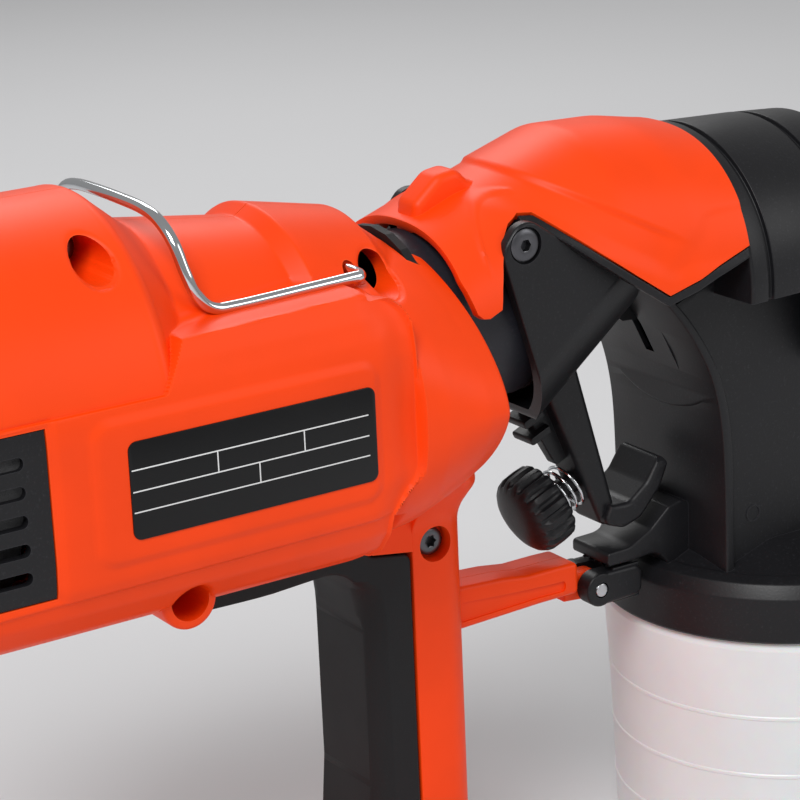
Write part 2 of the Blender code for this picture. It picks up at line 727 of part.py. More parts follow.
def channel(name, half_width, radius, lift, start=(-93.8, 152.2), tilt=radians(38.41)):
    """A long bar with a rounded underside, tilted to lie along the trigger; lift raises its underside."""
    outline = rounded([(-half_width, lift, radius), (half_width, lift, radius), (half_width, 140, 0),
                       (-half_width, 140, 0)], 5)
    bar = prism(name, outline, "x", -60, 90)
    place = Matrix.Translation(Vector((start[0], 0, start[1])) * MM)
    bar.data.transform(place @ Matrix.Rotation(-tilt, 4, "Y"))
    return bar


body_ramp = {"start": (-99.5, axis_z - tube_radius), "tilt": radians(34.06)}


def gun_upper_block():
    low = axis_z - tube_radius
    outline = [(-118, low), (-99.5, low), (-64, 180.4), (nose_rear_x + 1, 180.4), (nose_rear_x + 1, 230),
               (-118, 230)]
    block = prism("gun_body", outline, "y", -body_half_width, body_half_width)
    keep(block, channel("round_ramp", body_half_width, 21.0, 0.0, **body_ramp))
    keep(block, channel("round_collar", body_half_width, 24.0, 0.0, (-99.5, low), 0.0))
    join(block, rod("pivot_boss", 6.5, (pivot_x, -body_half_width, pivot_z), (0, 1, 0),
                    2 * body_half_width, 24))
    inset = shell_wall + 2 * gap
    rings = [oval(x, axis_z, half_width - inset, up - inset, 80, 2.3, 6.0)
             for x, up, half_width in shell_sections]
    rings.append(oval(nose_rear_x + 3, axis_z, 38, 38, 80, 2.3, 6.0))
    return keep(block, loft("under_shell", rings))


def gun_edge_frame():
    """The black lip that follows the shell's lower edge on both sides."""
    strip = [(-105.0, 211.2), (-65.6, 183.5), (nose_rear_x + 1, 189.9), (nose_rear_x + 1, 187.6),
             (-65.6, 181.9),
             (-107.0, 211.0)]
    frame = prism("edge_frame", strip, "y", -60, 60)
    rings = [oval(x, axis_z, half_width - gap, up - gap, half_width - gap, 2.3, 2.3)
             for x, up, half_width in shell_sections]
    rings.append(oval(nose_rear_x + 3, axis_z, 39, 39, 39, 2.3, 2.3))
    return keep(frame, loft("frame_trim", rings))


def gun_nose():
    profile = [(-44, 8), (-44, nose_radius), (4, nose_radius - 3), (14, 29), (14, 26.5),
               (nose_front_x, 26.5),
               (nose_front_x, 23.5), (8, 23.5), (-2, 33.5), (-41, 36.5), (-41, 8)]
    nose = turned("nose", profile, (0, 0, axis_z), (1, 0, 0), ring_points)
    tube = rod("fluid_tube", fluid_tube_radius, (-40.3, 0, axis_z), (1, 0, 0), 56, 16)
    return join(nose, tube)


def gun_lower():
    wall = rear_wall_line(0.0) + rear_wall_line(wall_thickness)[::-1]
    lower = prism("rear_wall", wall, "y", -wall_half_width, wall_half_width)
    side = wall_half_width - 1.9
    panels = prism("panels", [(-42, 95), (-9, 95), (-9, 150), (-43.5, 150)], "y", -side, side)
    cut(panels, box("room", (-38.6, 10), (-side + 2.5, side - 2.5), (99.5, 170)))
    pocket = [(-61.5, 181.5), (-54, 170), (-47.5, 157), (-44, 150), (-36, 150), (-36, 193), (-61.5, 193)]
    column = rod("column", column_radius, (0, 0, 94), (0, 0, 1), 52)
    riser = rod("riser", fluid_tube_radius - 0.5, (0, 0, 144), (0, 0, 1), 34, 16)
    top = lid_bottom_z + lid_height
    lid = turned("lid", [(5.4, 0), (5.4, 36), (1, 45), (0, lid_radius - 6), (-1.5, lid_radius - 2.5),
                         (-6, lid_radius),
                         (-lid_height, lid_radius), (-lid_height, lid_radius - lid_wall),
                         (-lid_roof, lid_radius - lid_wall), (-lid_roof, 0)],
                 (0, 0, top), (0, 0, 1), 32)
    over_latch = latch_z + latch_radius + gap
    tongue = [(-70, over_latch + 1.2), (-70, 105.8), (-60, 104.9), (-53, 108.2), (-46, 114), (-40, 114),
              (-40, 92),
              (-48, 92), (-55, over_latch)]
    return join(lower, panels, prism("pocket_block", pocket, "y", -10.5, 10.5), column, riser, lid,
                prism("tongue", tongue, "y", -8.5, 8.5))


def gun_body(materials):
    body = join(gun_upper_block(), gun_edge_frame(), gun_nose(), gun_lower())
    pocket = [(-56, 189.5), (-56, 176.2), (-51.5, 167.5), (-46.2, 157.5), (-38, 157.5), (-38, 189.5)]
    duct_view = [(-99, 161), (-95, 162.5), (-67, 183), (-64, 195), (-39, 195), (-39, 205), (-99, 203)]
    duct = prism("duct", duct_view, "y", -19, 19)
    keep(duct, channel("duct_ramp", body_half_width - 3, 18.0, 3.0, **body_ramp))
    keep(duct, channel("duct_collar", body_half_width - 3, 21.0, 3.0, body_ramp["start"], 0.0))
    cut(body, duct,
        rod("air_bore", tube_radius - tube_wall, (-119, 0, axis_z), (1, 0, 0), 21, ring_points),
        prism("pocket", pocket, "y", -7.5, 7.5),
        box("finger_slot", (-58, -43), (-1.9, 1.9), (157.2, 173.2)),
        rod("needle_guide", needle_radius + 0.5, (-60, 0, axis_z), (1, 0, 0), 5, 12),
        rod("fluid_bore", fluid_bore_radius, (-41, 0, axis_z), (1, 0, 0), 60, 16),
        rod("riser_bore", fluid_bore_radius - 0.4, (0, 0, 120), (0, 0, 1), axis_z - 120, 12),
        rod("pickup_socket", pickup_radius + gap, (0, 0, 80), (0, 0, 1), 40.5, 16))
    for side in (-1, 1):
        cut(body, rod("pivot_hole", pivot_bore, (pivot_x, side * 30, pivot_z), (0, -side, 0), 14, 12))
    finish(body, materials["black"])
    tube = pipe("air_tube", tube_radius - tube_wall, tube_radius, (tube_rear_x, 0, axis_z), (1, 0, 0),
                -118 - gap - tube_rear_x, ring_points)
    finish(tube, materials["slate"])


def trigger(materials):
    inner = body_half_width + 1.1
    outer = inner + cheek_thickness
    plate_outer = [(-102.5, 152.2), (-93.8, 152.2), (-65.8, 174.4)]
    cheek = rounded([(pivot_x - 9.0, 202.5, 6.5), (pivot_x - 0.5, 211.6, 6.5), (-69.0, 183.3, 3),
                     (*plate_outer[2], 2),
                     (*plate_outer[1], 3), (*plate_outer[0], 3)])
    arm = [arm_face_point(-34), arm_face_point(14), (-64.2, 112.2), (-78.6, 163.6)]
    hook = rounded([(-71.6, 113.5, 2), (-64.5, 110.9, 3), (-58.5, 112.8, 4), (-51.5, 120.4, 3),
                    (-48.9, 127, 2),
                    (-51.5, 129.6, 1.5), (-56.5, 122.6, 3), (-62.5, 118.2, 2), (-69, 118.5, 0)])
    finger = [(-69, 175.8), (-66.5, 173.9), (-58, 168), (-41.3, 166.8), (-41.3, 171.6), (-58.6, 171.8),
              (-66, 176.2)]
    lever = keep(prism("trigger", cheek, "y", -outer, outer), channel("roll", outer, trigger_roll, 0.0))
    room = keep(channel("room", inner, trigger_roll - 3.0, 3.2),
                box("above_floor", (-140, -40), (-60, 60), (155.4, 240)))
    cut(lever, room)
    join(lever, prism("arm", arm, "y", -trigger_arm_half_width, trigger_arm_half_width),
         prism("hook", hook, "y", -hook_half_width, hook_half_width),
         prism("finger", finger, "y", -1.3, 1.3),
         box("fork", (-43.2, -41.3), (-4.4, 4.4), (170.4, 173.4)))
    for side in (-1, 1):
        join(lever, box("tine", (-43.2, -41.3), sorted((side * 2.2, side * 4.4)), (171, 186)))
    cut(lever, rod("pivot_hole", pivot_bore, (pivot_x, -40, pivot_z), (0, 1, 0), 80, 12),
        rod("stem_hole", stem_radius + gap, knob_point(10), knob_axis(), 30, 12))
    for side in (-1, 1):
        cut(lever, rod("counterbore", 4.9, (pivot_x, side * 40, pivot_z), (0, -side, 0),
                       40 - outer + 1.5, 16))
    finish(lever, materials["black"], (pivot_x, 0, pivot_z))
    for name, side in (("pivot_screw_right", -1), ("pivot_screw_left", 1)):
        head_y = outer - 1.5
        profile = [(0, 0), (0, 4.4), (1.2, 4.4), (1.2, pivot_bore - gap), (9, pivot_bore - gap), (10, 0)]
        screw = turned(name, profile, (pivot_x, side * (head_y + gap + 1.2), pivot_z), (0, -side, 0), 12)
        cut(screw, rod("socket", 1.6, (pivot_x, side * (head_y + 3), pivot_z), (0, -side, 0), 3.0, 6))
        finish(screw, materials["steel"], (pivot_x, 0, pivot_z))


def knob_axis():
    return (cos(knob_tilt), 0, sin(knob_tilt))


def knob_point(distance):
    return tuple(Vector((knob_x, 0, knob_z)) + Vector(knob_axis()) * distance)


def arm_face_point(distance):
    """A point on the trigger arm's rear face, which the flow knob faces squarely."""
    middle = knob_point(knob_to_arm)
    return middle[0] + distance * sin(knob_tilt), middle[2] - distance * cos(knob_tilt)


def flow_knob(materials):
    along = Vector(knob_axis())
    side = Vector((0, 1, 0))
    up = along.cross(side)
    rings = []
    for distance, shrink in ((0, 1.2), (1.2, 0), (knob_length - 0.8, 0), (knob_length, 0.8)):
        ring = []
        for i in range(2 * knob_flutes):
            angle = pi * i / knob_flutes
            radius = knob_radius - shrink - (flute_depth if i % 2 else 0)
            ring.append(Vector(knob_point(distance)) + (side * cos(angle) + up * sin(angle)) * radius)
        rings.append(ring)
    knob = loft("flow_knob", rings)
    join(knob, rod("stem", stem_radius, knob_point(knob_length - 1), along,
                   knob_to_arm + 7 - knob_length, 12))
    finish(knob, materials["black"], (knob_x, 0, knob_z))


def flow_spring(materials):
    """One unbroken helix between the knob and the trigger, with straight ends one wire diameter long."""
    along = Vector(knob_axis())
    side = Vector((0, 1, 0))
    up = along.cross(side)
    start = knob_length + gap
    end = knob_to_arm - gap
    straight = 2 * spring_wire
    steps = 9 * spring_coils
    points = [Vector(knob_point(start)) + side * spring_radius]
    for i in range(steps + 1):
        angle = 2 * pi * spring_coils * i / steps
        distance = start + straight + (end - start - 2 * straight) * i / steps
        points.append(Vector(knob_point(distance)) + (side * cos(angle) + up * sin(angle)) * spring_radius)
    points.append(Vector(knob_point(end)) + side * spring_radius)
    coil = points[1:-1]
    least = min((a - b).length for i, a in enumerate(coil) for b in coil[i + 6:]) - 2 * spring_wire
    print("flow_spring least gap to itself, mm:", round(least, 2))
    finish(wire("flow_spring", points, spring_wire, 1), materials["chrome"])


def needle_and_nozzle(materials):
    needle = turned("needle", [(-55, 0), (-55, needle_radius), (-47, needle_radius), (-47, 5.5),
                               (-43.5, 5.5),
                               (-43.5, needle_radius), (29.5, needle_radius), (34, 0.6), (34.6, 0)],
                    (0, 0, axis_z), (1, 0, 0), 12)
    finish(needle, materials["bright"])
    spring = pipe("needle_spring", needle_radius + 0.5, 3.6, (-55.7, 0, axis_z), (1, 0, 0), 8.4, 12)
    finish(spring, materials["bright"])
    nut = turned("packing_nut", [(-40.6, needle_radius + gap), (-40.6, 6.5), (-38.4, 6.5), (-38.4, 3.9),
                                 (-33, 3.9),
                                 (-33, needle_radius + gap)], (0, 0, axis_z), (1, 0, 0), 12)
    finish(nut, materials["brass"])
    tip_profile = [(9, 2.3), (9, 3.9), (16.3, 3.9), (16.3, 8.2), (21, 8.2), (23, 6), (31, 3.6), (35.5, 2.6),
                   (35.5, nozzle_bore), (33.2, nozzle_bore), (29, 2.3)]
    tip = turned("fluid_nozzle", tip_profile, (0, 0, axis_z), (1, 0, 0), 16)
    finish(tip, materials["bright"])
    cap = turned("air_cap", [(22.3, 17.5), (22.3, 26.2), (27.7, 26.2), (27.7, 20.4), (33.5, 18.8),
                             (33.5, 3.3), (31, 4.4),
                             (28.5, 17.5)], (0, 0, axis_z), (1, 0, 0))
    for side in (-1, 1):
        outline = [(32.5, side * 9.5), (32.5, side * 18.2), (41, side * 17.4), (45, side * 14.5),
                   (45, side * 13)]
        join(cap, prism("horn", outline, "z", axis_z - 4.5, axis_z + 4.5))
    finish(cap, materials["black"], (0, 0, axis_z))
    nut_profile = [(14.4, 27.0), (14.4, 31.5), (16, 33), (27, 32.4), (31, 30), (31, 21.2), (28.1, 21.2),
                   (28.1, 27.0)]
    ring = turned("ring_nut", nut_profile, (0, 0, axis_z), (1, 0, 0))
    for i in range(8):
        angle = 2 * pi * (i + 0.5) / 8
        centre = (13, 34.4 * cos(angle), axis_z + 34.4 * sin(angle))
        cut(ring, rod("grip_flute", 3.4, centre, (1, 0, 0), 15, 6))
    finish(ring, materials["black"], (0, 0, axis_z))


# ---------------------------------------------------------------- cup
def cup(materials):
    roof = lid_bottom_z + lid_height - lid_roof
    rim = roof - gap - gasket_height - gap
    shoulder = lid_bottom_z - gap
    profile = [(0, 0), (0, cup_base_radius - 3), (3, cup_base_radius), (shoulder - 2.5, cup_top_radius),
               (shoulder, cup_top_radius - 1.2), (shoulder, cup_neck_radius), (rim, cup_neck_radius),
               (rim, cup_neck_radius - cup_wall), (shoulder - 5, cup_neck_radius - cup_wall),
               (4, cup_base_radius - cup_wall), (2, cup_base_radius - 4), (2, 0)]
    finish(turned("cup", profile, (0, 0, 0), (0, 0, 1), 32), materials["cup"])
    gasket = pipe("cup_gasket", cup_neck_radius - 5.5, cup_neck_radius, (0, 0, rim + gap), (0, 0, 1),
                  gasket_height, 32)
    finish(gasket, materials["white"])
    tube = pipe("pickup_tube", 3.6, pickup_radius, (0, 0, 5), (0, 0, 1), 115, 16)
    finish(tube, materials["white"])


def main():
    clear_scene()
    materials = make_materials()
    housing_halves(materials)
    filter_cover(materials)
    grip_and_foot(materials)
    rating_plate(materials)
    housing_screws(materials)
    power_switch(materials)
    motor(materials)
    turbine(materials)
    hanger(materials)
    latch(materials)
    gun_shell(materials)
    gun_body(materials)
    trigger(materials)
    flow_knob(materials)
    flow_spring(materials)
    needle_and_nozzle(materials)
    cup(materials)


main()
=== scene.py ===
import bpy
import bmesh
import numpy as np
from math import atan2, cos, pi, radians, sin
from mathutils import Matrix, Vector


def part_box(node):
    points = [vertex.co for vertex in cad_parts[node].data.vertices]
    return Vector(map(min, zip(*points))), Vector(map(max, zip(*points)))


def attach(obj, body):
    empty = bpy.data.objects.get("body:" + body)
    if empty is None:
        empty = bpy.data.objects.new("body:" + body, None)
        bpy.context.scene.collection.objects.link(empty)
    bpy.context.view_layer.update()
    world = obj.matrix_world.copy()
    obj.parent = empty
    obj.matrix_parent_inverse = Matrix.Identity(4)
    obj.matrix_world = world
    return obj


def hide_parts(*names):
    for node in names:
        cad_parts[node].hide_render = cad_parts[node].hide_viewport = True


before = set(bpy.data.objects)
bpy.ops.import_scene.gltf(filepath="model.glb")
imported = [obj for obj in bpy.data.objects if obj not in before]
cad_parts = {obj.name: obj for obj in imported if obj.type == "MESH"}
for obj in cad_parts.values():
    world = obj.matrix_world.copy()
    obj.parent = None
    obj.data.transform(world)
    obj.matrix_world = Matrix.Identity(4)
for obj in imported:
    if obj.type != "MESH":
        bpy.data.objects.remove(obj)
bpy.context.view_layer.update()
print("frame loaded:", len(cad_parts), "nodes")

mm = 0.001
axisHeight = 181  # motor, air tube and nozzle share this axis
alongX, alongY, alongZ = (1, 0, 0), (0, 1, 0), (0, 0, 1)


def onAxis(x):
    return (x, 0, axisHeight)


# camera, floor and lamps
view = {
    "place": (-508.6, -592.8, 381.6),
    "right": (0.8355, -0.5479, -0.0416),
    "up": (0.1982, 0.2299, 0.9528),
    "back": (-0.5124, -0.8044, 0.3007),
    "lens": 126,
    "sensor": 36,
    "floorColour": (0.72, 0.72, 0.73),
    "skyColour": (0.80, 0.81, 0.82),
    "fill": 0.34,
}


def addCamera():
    camera = bpy.data.cameras.new("camera")
    camera.lens = view["lens"]
    camera.sensor_width = view["sensor"]
    camera.clip_start = 0.01
    holder = bpy.data.objects.new("camera", camera)
    bpy.context.scene.collection.objects.link(holder)
    turn = Matrix((view["right"], view["up"], view["back"])).transposed()
    holder.matrix_world = Matrix.Translation(Vector(view["place"]) * mm) @ turn.to_4x4()
    bpy.context.scene.camera = holder


def addLamp(name, place, target, size, power):
    lamp = bpy.data.lights.new(name, "AREA")
    lamp.shape = "RECTANGLE"
    lamp.size, lamp.size_y = size
    lamp.energy = power
    holder = bpy.data.objects.new(name, lamp)
    bpy.context.scene.collection.objects.link(holder)
    aim = (Vector(target) - Vector(place)).to_track_quat("-Z", "Y")
    holder.matrix_world = Matrix.Translation(place) @ aim.to_matrix().to_4x4()


# one shader socket, so that maths on it can be written plainly
class Wire:
    def __init__(self, tree, socket=None):
        self.tree = tree
        self.socket = socket

    def node(self, kind, settings=None, sockets=None, out=0):
        made = self.tree.nodes.new(kind)
        for key, value in (settings or {}).items():
            if key == "stops":
                ramp = made.color_ramp
                ramp.elements[0].position, ramp.elements[0].color = value[0]
                ramp.elements[1].position, ramp.elements[1].color = value[-1]
                for position, colour in value[1:-1]:
                    ramp.elements.new(position).color = colour
            else:
                setattr(made, key, value)
        for key, value in (sockets or {}).items():
            if isinstance(value, Wire):
                self.tree.links.new(value.socket, made.inputs[key])
            else:
                made.inputs[key].default_value = value
        return Wire(self.tree, made.outputs[out])

    def maths(self, operation, *others):
        values = dict(enumerate((self, *others)))
        return self.node("ShaderNodeMath", {"operation": operation}, values)

    def __add__(self, other):
        return self.maths("ADD", other)

    def __mul__(self, other):
        return self.maths("MULTIPLY", other)

    def __sub__(self, other):
        return self.maths("SUBTRACT", other)

    def __rsub__(self, other):
        return self * -1 + other

    def __gt__(self, other):
        return self.maths("GREATER_THAN", other)

    def __lt__(self, other):
        return self.maths("LESS_THAN", other)

    def size(self):
        return self.maths("ABSOLUTE")

    def fade(self, low, high):  # 0 below low, 1 above high
        ranges = {"Value": self, "From Min": low, "From Max": high}
        return self.node("ShaderNodeMapRange", {"interpolation_type": "SMOOTHSTEP"}, ranges)


def mixColours(mask, first, second):
    sockets = {"Factor": mask, 6: first, 7: second}
    return mask.node("ShaderNodeMix", {"data_type": "RGBA"}, sockets, 2)


def rgba(colour, scale=1):
    return tuple(min(c * scale, 1) for c in colour) + (1,)


# a moulded or metal surface: cloudy colour, speckle, grain in the surface and a painted highlight on rounded
# edges
def makeFinish(name, look):
    material = bpy.data.materials.new(name)
    material.use_nodes = True
    tree = material.node_tree
    shader = tree.nodes["Principled BSDF"]
    start = Wire(tree)
    place = start.node("ShaderNodeTexCoord", out="Object")
    cloud = start.node("ShaderNodeTexNoise", {}, {
        "Vector": place, "Scale": 30, "Detail": 3, "Roughness": 0.55})
    grain = start.node("ShaderNodeTexNoise", {}, {
        "Vector": place, "Scale": look.get("grainScale", 1500), "Detail": 2, "Roughness": 0.6})
    colour = mixColours(cloud.fade(0.3, 0.7), rgba(look["colour"], look.get("dark", 0.86)),
                        rgba(look["colour"], look.get("light", 1.1)))
    if "speckle" in look:
        colour = mixColours(grain.fade(0.56, 0.8) * look["speckle"], colour, rgba(look["speckleColour"]))
    # painted highlight: rounded edges, found by the bevel normal, turn a lighter colour in place of the light
    # their fillets catch
    if "edge" in look:
        rounded = start.node("ShaderNodeBevel", {"samples": 6}, {"Radius": look.get("edgeSize", 0.5) * mm})
        plain = start.node("ShaderNodeNewGeometry", out="Normal")
        both = {0: rounded, 1: plain}
        bend = start.node("ShaderNodeVectorMath", {"operation": "DOT_PRODUCT"}, both, "Value")
        rimHighlight = (1 - bend).fade(0.02, 0.3) * look["edge"]
        colour = mixColours(rimHighlight, colour, rgba(look["edgeColour"]))
    spread = look.get("roughSpread", 0.08)
    rough = cloud.fade(0.2, 0.8) * spread + (look["rough"] - spread / 2)
    tree.links.new(colour.socket, shader.inputs["Base Color"])
    tree.links.new(rough.socket, shader.inputs["Roughness"])
    height = grain * look.get("grain", 0.5)
    if "brush" in look:  # drawn or turned metal
        turn = start.node("ShaderNodeMapping", {}, {"Vector": place, "Scale": look["brush"]})
        height = height + start.node("ShaderNodeTexNoise", {}, {"Vector": turn, "Scale": 1, "Detail": 3})
    if "ribs" in look:  # stacked sheets
        layer = start.node("ShaderNodeTexWave", {"bands_direction": "X"}, {
            "Vector": place, "Scale": look["ribs"], "Distortion": 0})
        height = height + layer
    bump = start.node("ShaderNodeBump", {}, {
        "Height": height, "Strength": look.get("bump", 0.25), "Distance": look.get("depth", 0.1) * mm})
    tree.links.new(bump.socket, shader.inputs["Normal"])
    shader.inputs["Metallic"].default_value = look.get("metal", 0)
    shader.inputs["Specular IOR Level"].default_value = look.get("specular", 0.5)
    shader.inputs["Coat Weight"].default_value = look.get("coat", 0)
    shader.inputs["Coat Roughness"].default_value = 0.15
    shader.inputs["Subsurface Weight"].default_value = look.get("milky", 0)
    shader.inputs["Subsurface Scale"].default_value = 0.004
    return material


# the edge entries paint a lighter highlight colour along rounded rims
looks = {
    "orange_plastic": {"colour": (0.95, 0.058, 0.0015), "rough": 0.44, "grainScale": 1400, "bump": 0.12,
                       "dark": 0.95, "light": 1.03, "edge": 0.5, "edgeColour": (1, 0.15, 0.03),
                       "edgeSize": 0.45, "specular": 0.24},
    "black_plastic": {"colour": (0.007, 0.007, 0.0085), "rough": 0.42, "grainScale": 1300, "bump": 0.55,
                      "speckle": 0.4, "speckleColour": (0.04, 0.04, 0.046), "edge": 0.5,
                      "edgeColour": (0.05, 0.05, 0.058), "specular": 0.34},
    "slate_plastic": {"colour": (0.016, 0.017, 0.024), "rough": 0.45, "grainScale": 1200, "bump": 0.4,
                      "speckle": 0.35, "speckleColour": (0.05, 0.052, 0.062), "specular": 0.36},
    "black_rubber": {"colour": (0.007, 0.007, 0.008), "rough": 0.6, "grainScale": 2200, "bump": 0.4,
                     "speckle": 0.25, "speckleColour": (0.03, 0.03, 0.034), "roughSpread": 0.12,
                     "specular": 0.32},
    "chrome_wire": {"colour": (0.66, 0.68, 0.7), "rough": 0.1, "metal": 1, "grainScale": 3000,
                    "bump": 0.05, "roughSpread": 0.06, "dark": 0.9, "light": 1.05},
    "screw_steel": {"colour": (0.12, 0.12, 0.13), "rough": 0.36, "metal": 1, "bump": 0.2, "edge": 0.5,
                    "edgeColour": (0.4, 0.4, 0.42)},
    "bright_steel": {"colour": (0.56, 0.56, 0.58), "rough": 0.27, "metal": 1, "bump": 0.15,
                     "brush": (60, 3000, 3000), "depth": 0.03},
    "copper_winding": {"colour": (0.62, 0.22, 0.09), "rough": 0.33, "metal": 1, "ribs": 420, "bump": 0.6,
                       "depth": 0.2, "coat": 0.4},
    "laminated_iron": {"colour": (0.2, 0.2, 0.21), "rough": 0.45, "metal": 1, "ribs": 320, "bump": 0.5,
                       "depth": 0.1},
    "filter_foam": {"colour": (0.05, 0.05, 0.052), "rough": 0.95, "grainScale": 900, "bump": 1, "depth": 0.8,
                    "speckle": 0.6, "speckleColour": (0.005, 0.005, 0.005)},
    "cup_white": {"colour": (0.80, 0.82, 0.83), "rough": 0.34, "grainScale": 500, "bump": 0.06, "milky": 0.35,
                  "dark": 0.97, "light": 1.02},
    "white_plastic": {"colour": (0.78, 0.78, 0.77), "rough": 0.42, "bump": 0.1, "dark": 0.95, "light": 1.02},
    "brass": {"colour": (0.7, 0.47, 0.17), "rough": 0.3, "metal": 1, "brush": (80, 2500, 2500),
              "bump": 0.15, "depth": 0.03},
}
finishes = {name: makeFinish(name, look) for name, look in looks.items()}


# rating plate: black, with plain pale rules round blank cells
plateRules = {
    "across": ((-236.5, -172.5, 177.2), (-236.5, -172.5, 172), (-236.5, -172.5, 167)),
    "upright": ((-214, 172, 177.2), (-190.5, 172, 177.2), (-203, 167, 172)),
    "width": 0.16,
}


def makePlate():
    look = {"colour": (0.003, 0.003, 0.0035), "rough": 0.3, "grainScale": 400, "bump": 0.04, "specular": 0.3}
    material = makeFinish("plate_black", look)
    tree = material.node_tree
    shader = tree.nodes["Principled BSDF"]
    start = Wire(tree)
    spot = start.node("ShaderNodeTexCoord", out="Object")
    x = start.node("ShaderNodeSeparateXYZ", {}, {"Vector": spot}, "X") * 1000
    z = start.node("ShaderNodeSeparateXYZ", {}, {"Vector": spot}, "Z") * 1000
    mask = None
    for low, high, level in plateRules["across"]:
        part = ((z - level).size() < plateRules["width"]) * (x > low) * (x < high)
        mask = part if mask is None else mask + part
    for level, low, high in plateRules["upright"]:
        mask = mask + ((x - level).size() < plateRules["width"]) * (z > low) * (z < high)
    link = shader.inputs["Base Color"].links[0]
    colour = mixColours(mask.fade(0, 1), Wire(tree, link.from_socket), rgba((0.75, 0.75, 0.75)))
    tree.links.new(colour.socket, shader.inputs["Base Color"])
    return material


finishes["plate_black"] = makePlate()
print("finishes made:", len(finishes))


# mesh helpers: sizes in millimetres, meshes in metres
def roundedPath(corners, steps=6):  # corners are (a, b, radius)
    points = []
    count = len(corners)
    for i, (a, b, radius) in enumerate(corners):
        here = Vector((a, b))
        before = Vector(corners[i - 1][:2]) - here
        after = Vector(corners[(i + 1) % count][:2]) - here
        half = before.angle(after) / 2
        if radius <= 0 or half > 1.55:
            points.append((a, b))
            continue
        reach = min(radius * cos(half) / sin(half), 0.49 * before.length, 0.49 * after.length)
        radius = reach * sin(half) / cos(half)
        middle = here + (before.normalized() + after.normalized()).normalized() * radius / sin(half)
        first = here + before.normalized() * reach - middle
        last = here + after.normalized() * reach - middle
        turn = atan2(first.x * last.y - first.y * last.x, first.dot(last))
        for step in range(steps + 1):
            angle = turn * step / steps
            points.append((middle.x + first.x * cos(angle) - first.y * sin(angle),
                           middle.y + first.x * sin(angle) + first.y * cos(angle)))
    return points


def rectangle(a, b, radius, steps=4):  # a and b are (low, high)
    return roundedPath([(a[0], b[0], radius), (a[1], b[0], radius),
                        (a[1], b[1], radius), (a[0], b[1], radius)], steps)


def curvePath(keys, steps):  # smooth points through the keys
    keys = [Vector(key) for key in keys]
    padded = [keys[0] * 2 - keys[1], *keys, keys[-1] * 2 - keys[-2]]
    points = []
    for before, start, end, after in zip(padded, padded[1:], padded[2:], padded[3:]):
        for step in range(steps):
            t = step / steps
            points.append(0.5 * (2 * start + (end - before) * t
                                 + (2 * before - 5 * start + 4 * end - after) * t * t
                                 + (3 * start - before - 3 * end + after) * t ** 3))
    points.append(keys[-1])
    return points


def toObject(bm, name):
    mesh = bpy.data.meshes.new(name)
    bm.to_mesh(mesh)
    bm.free()
    made = bpy.data.objects.new(name, mesh)
    bpy.context.scene.collection.objects.link(made)
    return made


def seal(bm, distance=1e-6):
    bmesh.ops.remove_doubles(bm, verts=bm.verts, dist=distance)
    bmesh.ops.recalc_face_normals(bm, faces=bm.faces)


# an outline pushed along one axis, with its rims rounded: edge is one size, or (low rim, high rim)
def slab(name, outline, axis, low, high, edge=0, steps=3):
    order = {"x": lambda a, b, c: (c, a, b),
             "y": lambda a, b, c: (a, c, b),
             "z": lambda a, b, c: (a, b, c)}[axis]
    bm = bmesh.new()
    face = bm.faces.new([bm.verts.new(Vector(order(a, b, low)) * mm) for a, b in outline])
    grown = bmesh.ops.extrude_face_region(bm, geom=[face])["geom"]
    moved = [v for v in grown if isinstance(v, bmesh.types.BMVert)]
    bmesh.ops.translate(bm, verts=moved, vec=Vector(order(0, 0, high - low)) * mm)
    bmesh.ops.recalc_face_normals(bm, faces=bm.faces)
    sizes = edge if isinstance(edge, tuple) else (edge, edge)
    along = "xyz".index(axis)
    for level, size in zip((low, high), sizes):
        if size > 0:
            rim = [e for e in bm.edges if all(abs(v.co[along] - level * mm) < 1e-7 for v in e.verts)]
            bmesh.ops.bevel(bm, geom=rim, offset=size * mm, offset_type="OFFSET", affect="EDGES",
                            segments=steps, profile=0.5, material=-1, clamp_overlap=True)
    seal(bm)
    return toObject(bm, name)


def block(name, x, y, z, edge=0, steps=3):
    corners = [(x[0], y[0]), (x[1], y[0]), (x[1], y[1]), (x[0], y[1])]
    made = slab(name, corners, "z", z[0], z[1])
    if edge > 0:
        bm = bmesh.new()
        bm.from_mesh(made.data)
        bmesh.ops.bevel(bm, geom=bm.edges[:], offset=edge * mm, offset_type="OFFSET", affect="EDGES",
                        segments=steps, profile=0.5, material=-1, clamp_overlap=True)
        bm.to_mesh(made.data)
        bm.free()
    return made


# a turned piece from (along, radius) points; one that stays off the axis is a closed ring
def lathe(name, profile, centre, direction, steps=64):
    along = Vector(direction).normalized()
    side = along.orthogonal().normalized()
    bm = bmesh.new()
    points = [bm.verts.new((Vector(centre) + along * d + side * r) * mm) for d, r in profile]
    edges = [bm.edges.new(pair) for pair in zip(points, points[1:])]
    if profile[0][1] > 0 and profile[-1][1] > 0:
        edges.append(bm.edges.new((points[-1], points[0])))
    bmesh.ops.spin(bm, geom=points + edges, cent=Vector(centre) * mm, axis=along, angle=2 * pi,
                   steps=steps, use_merge=True)
    seal(bm)
    return toObject(bm, name)


# a turned piece from (along, radius, rounding) corners
def turned(name, corners, rounding, centre, direction, steps=64):
    return lathe(name, roundedPath(corners, rounding), centre, direction, steps)


def rod(name, radius, centre, direction, length, edge=0, steps=32):
    profile = [(0, 0), (0, radius, edge), (length, radius, edge), (length, 0)]
    if edge > 0:
        corners = [(p[0], p[1], p[2] if len(p) > 2 else 0) for p in profile]
        return turned(name, corners, 3, centre, direction, steps)
    return lathe(name, [p[:2] for p in profile], centre, direction, steps)


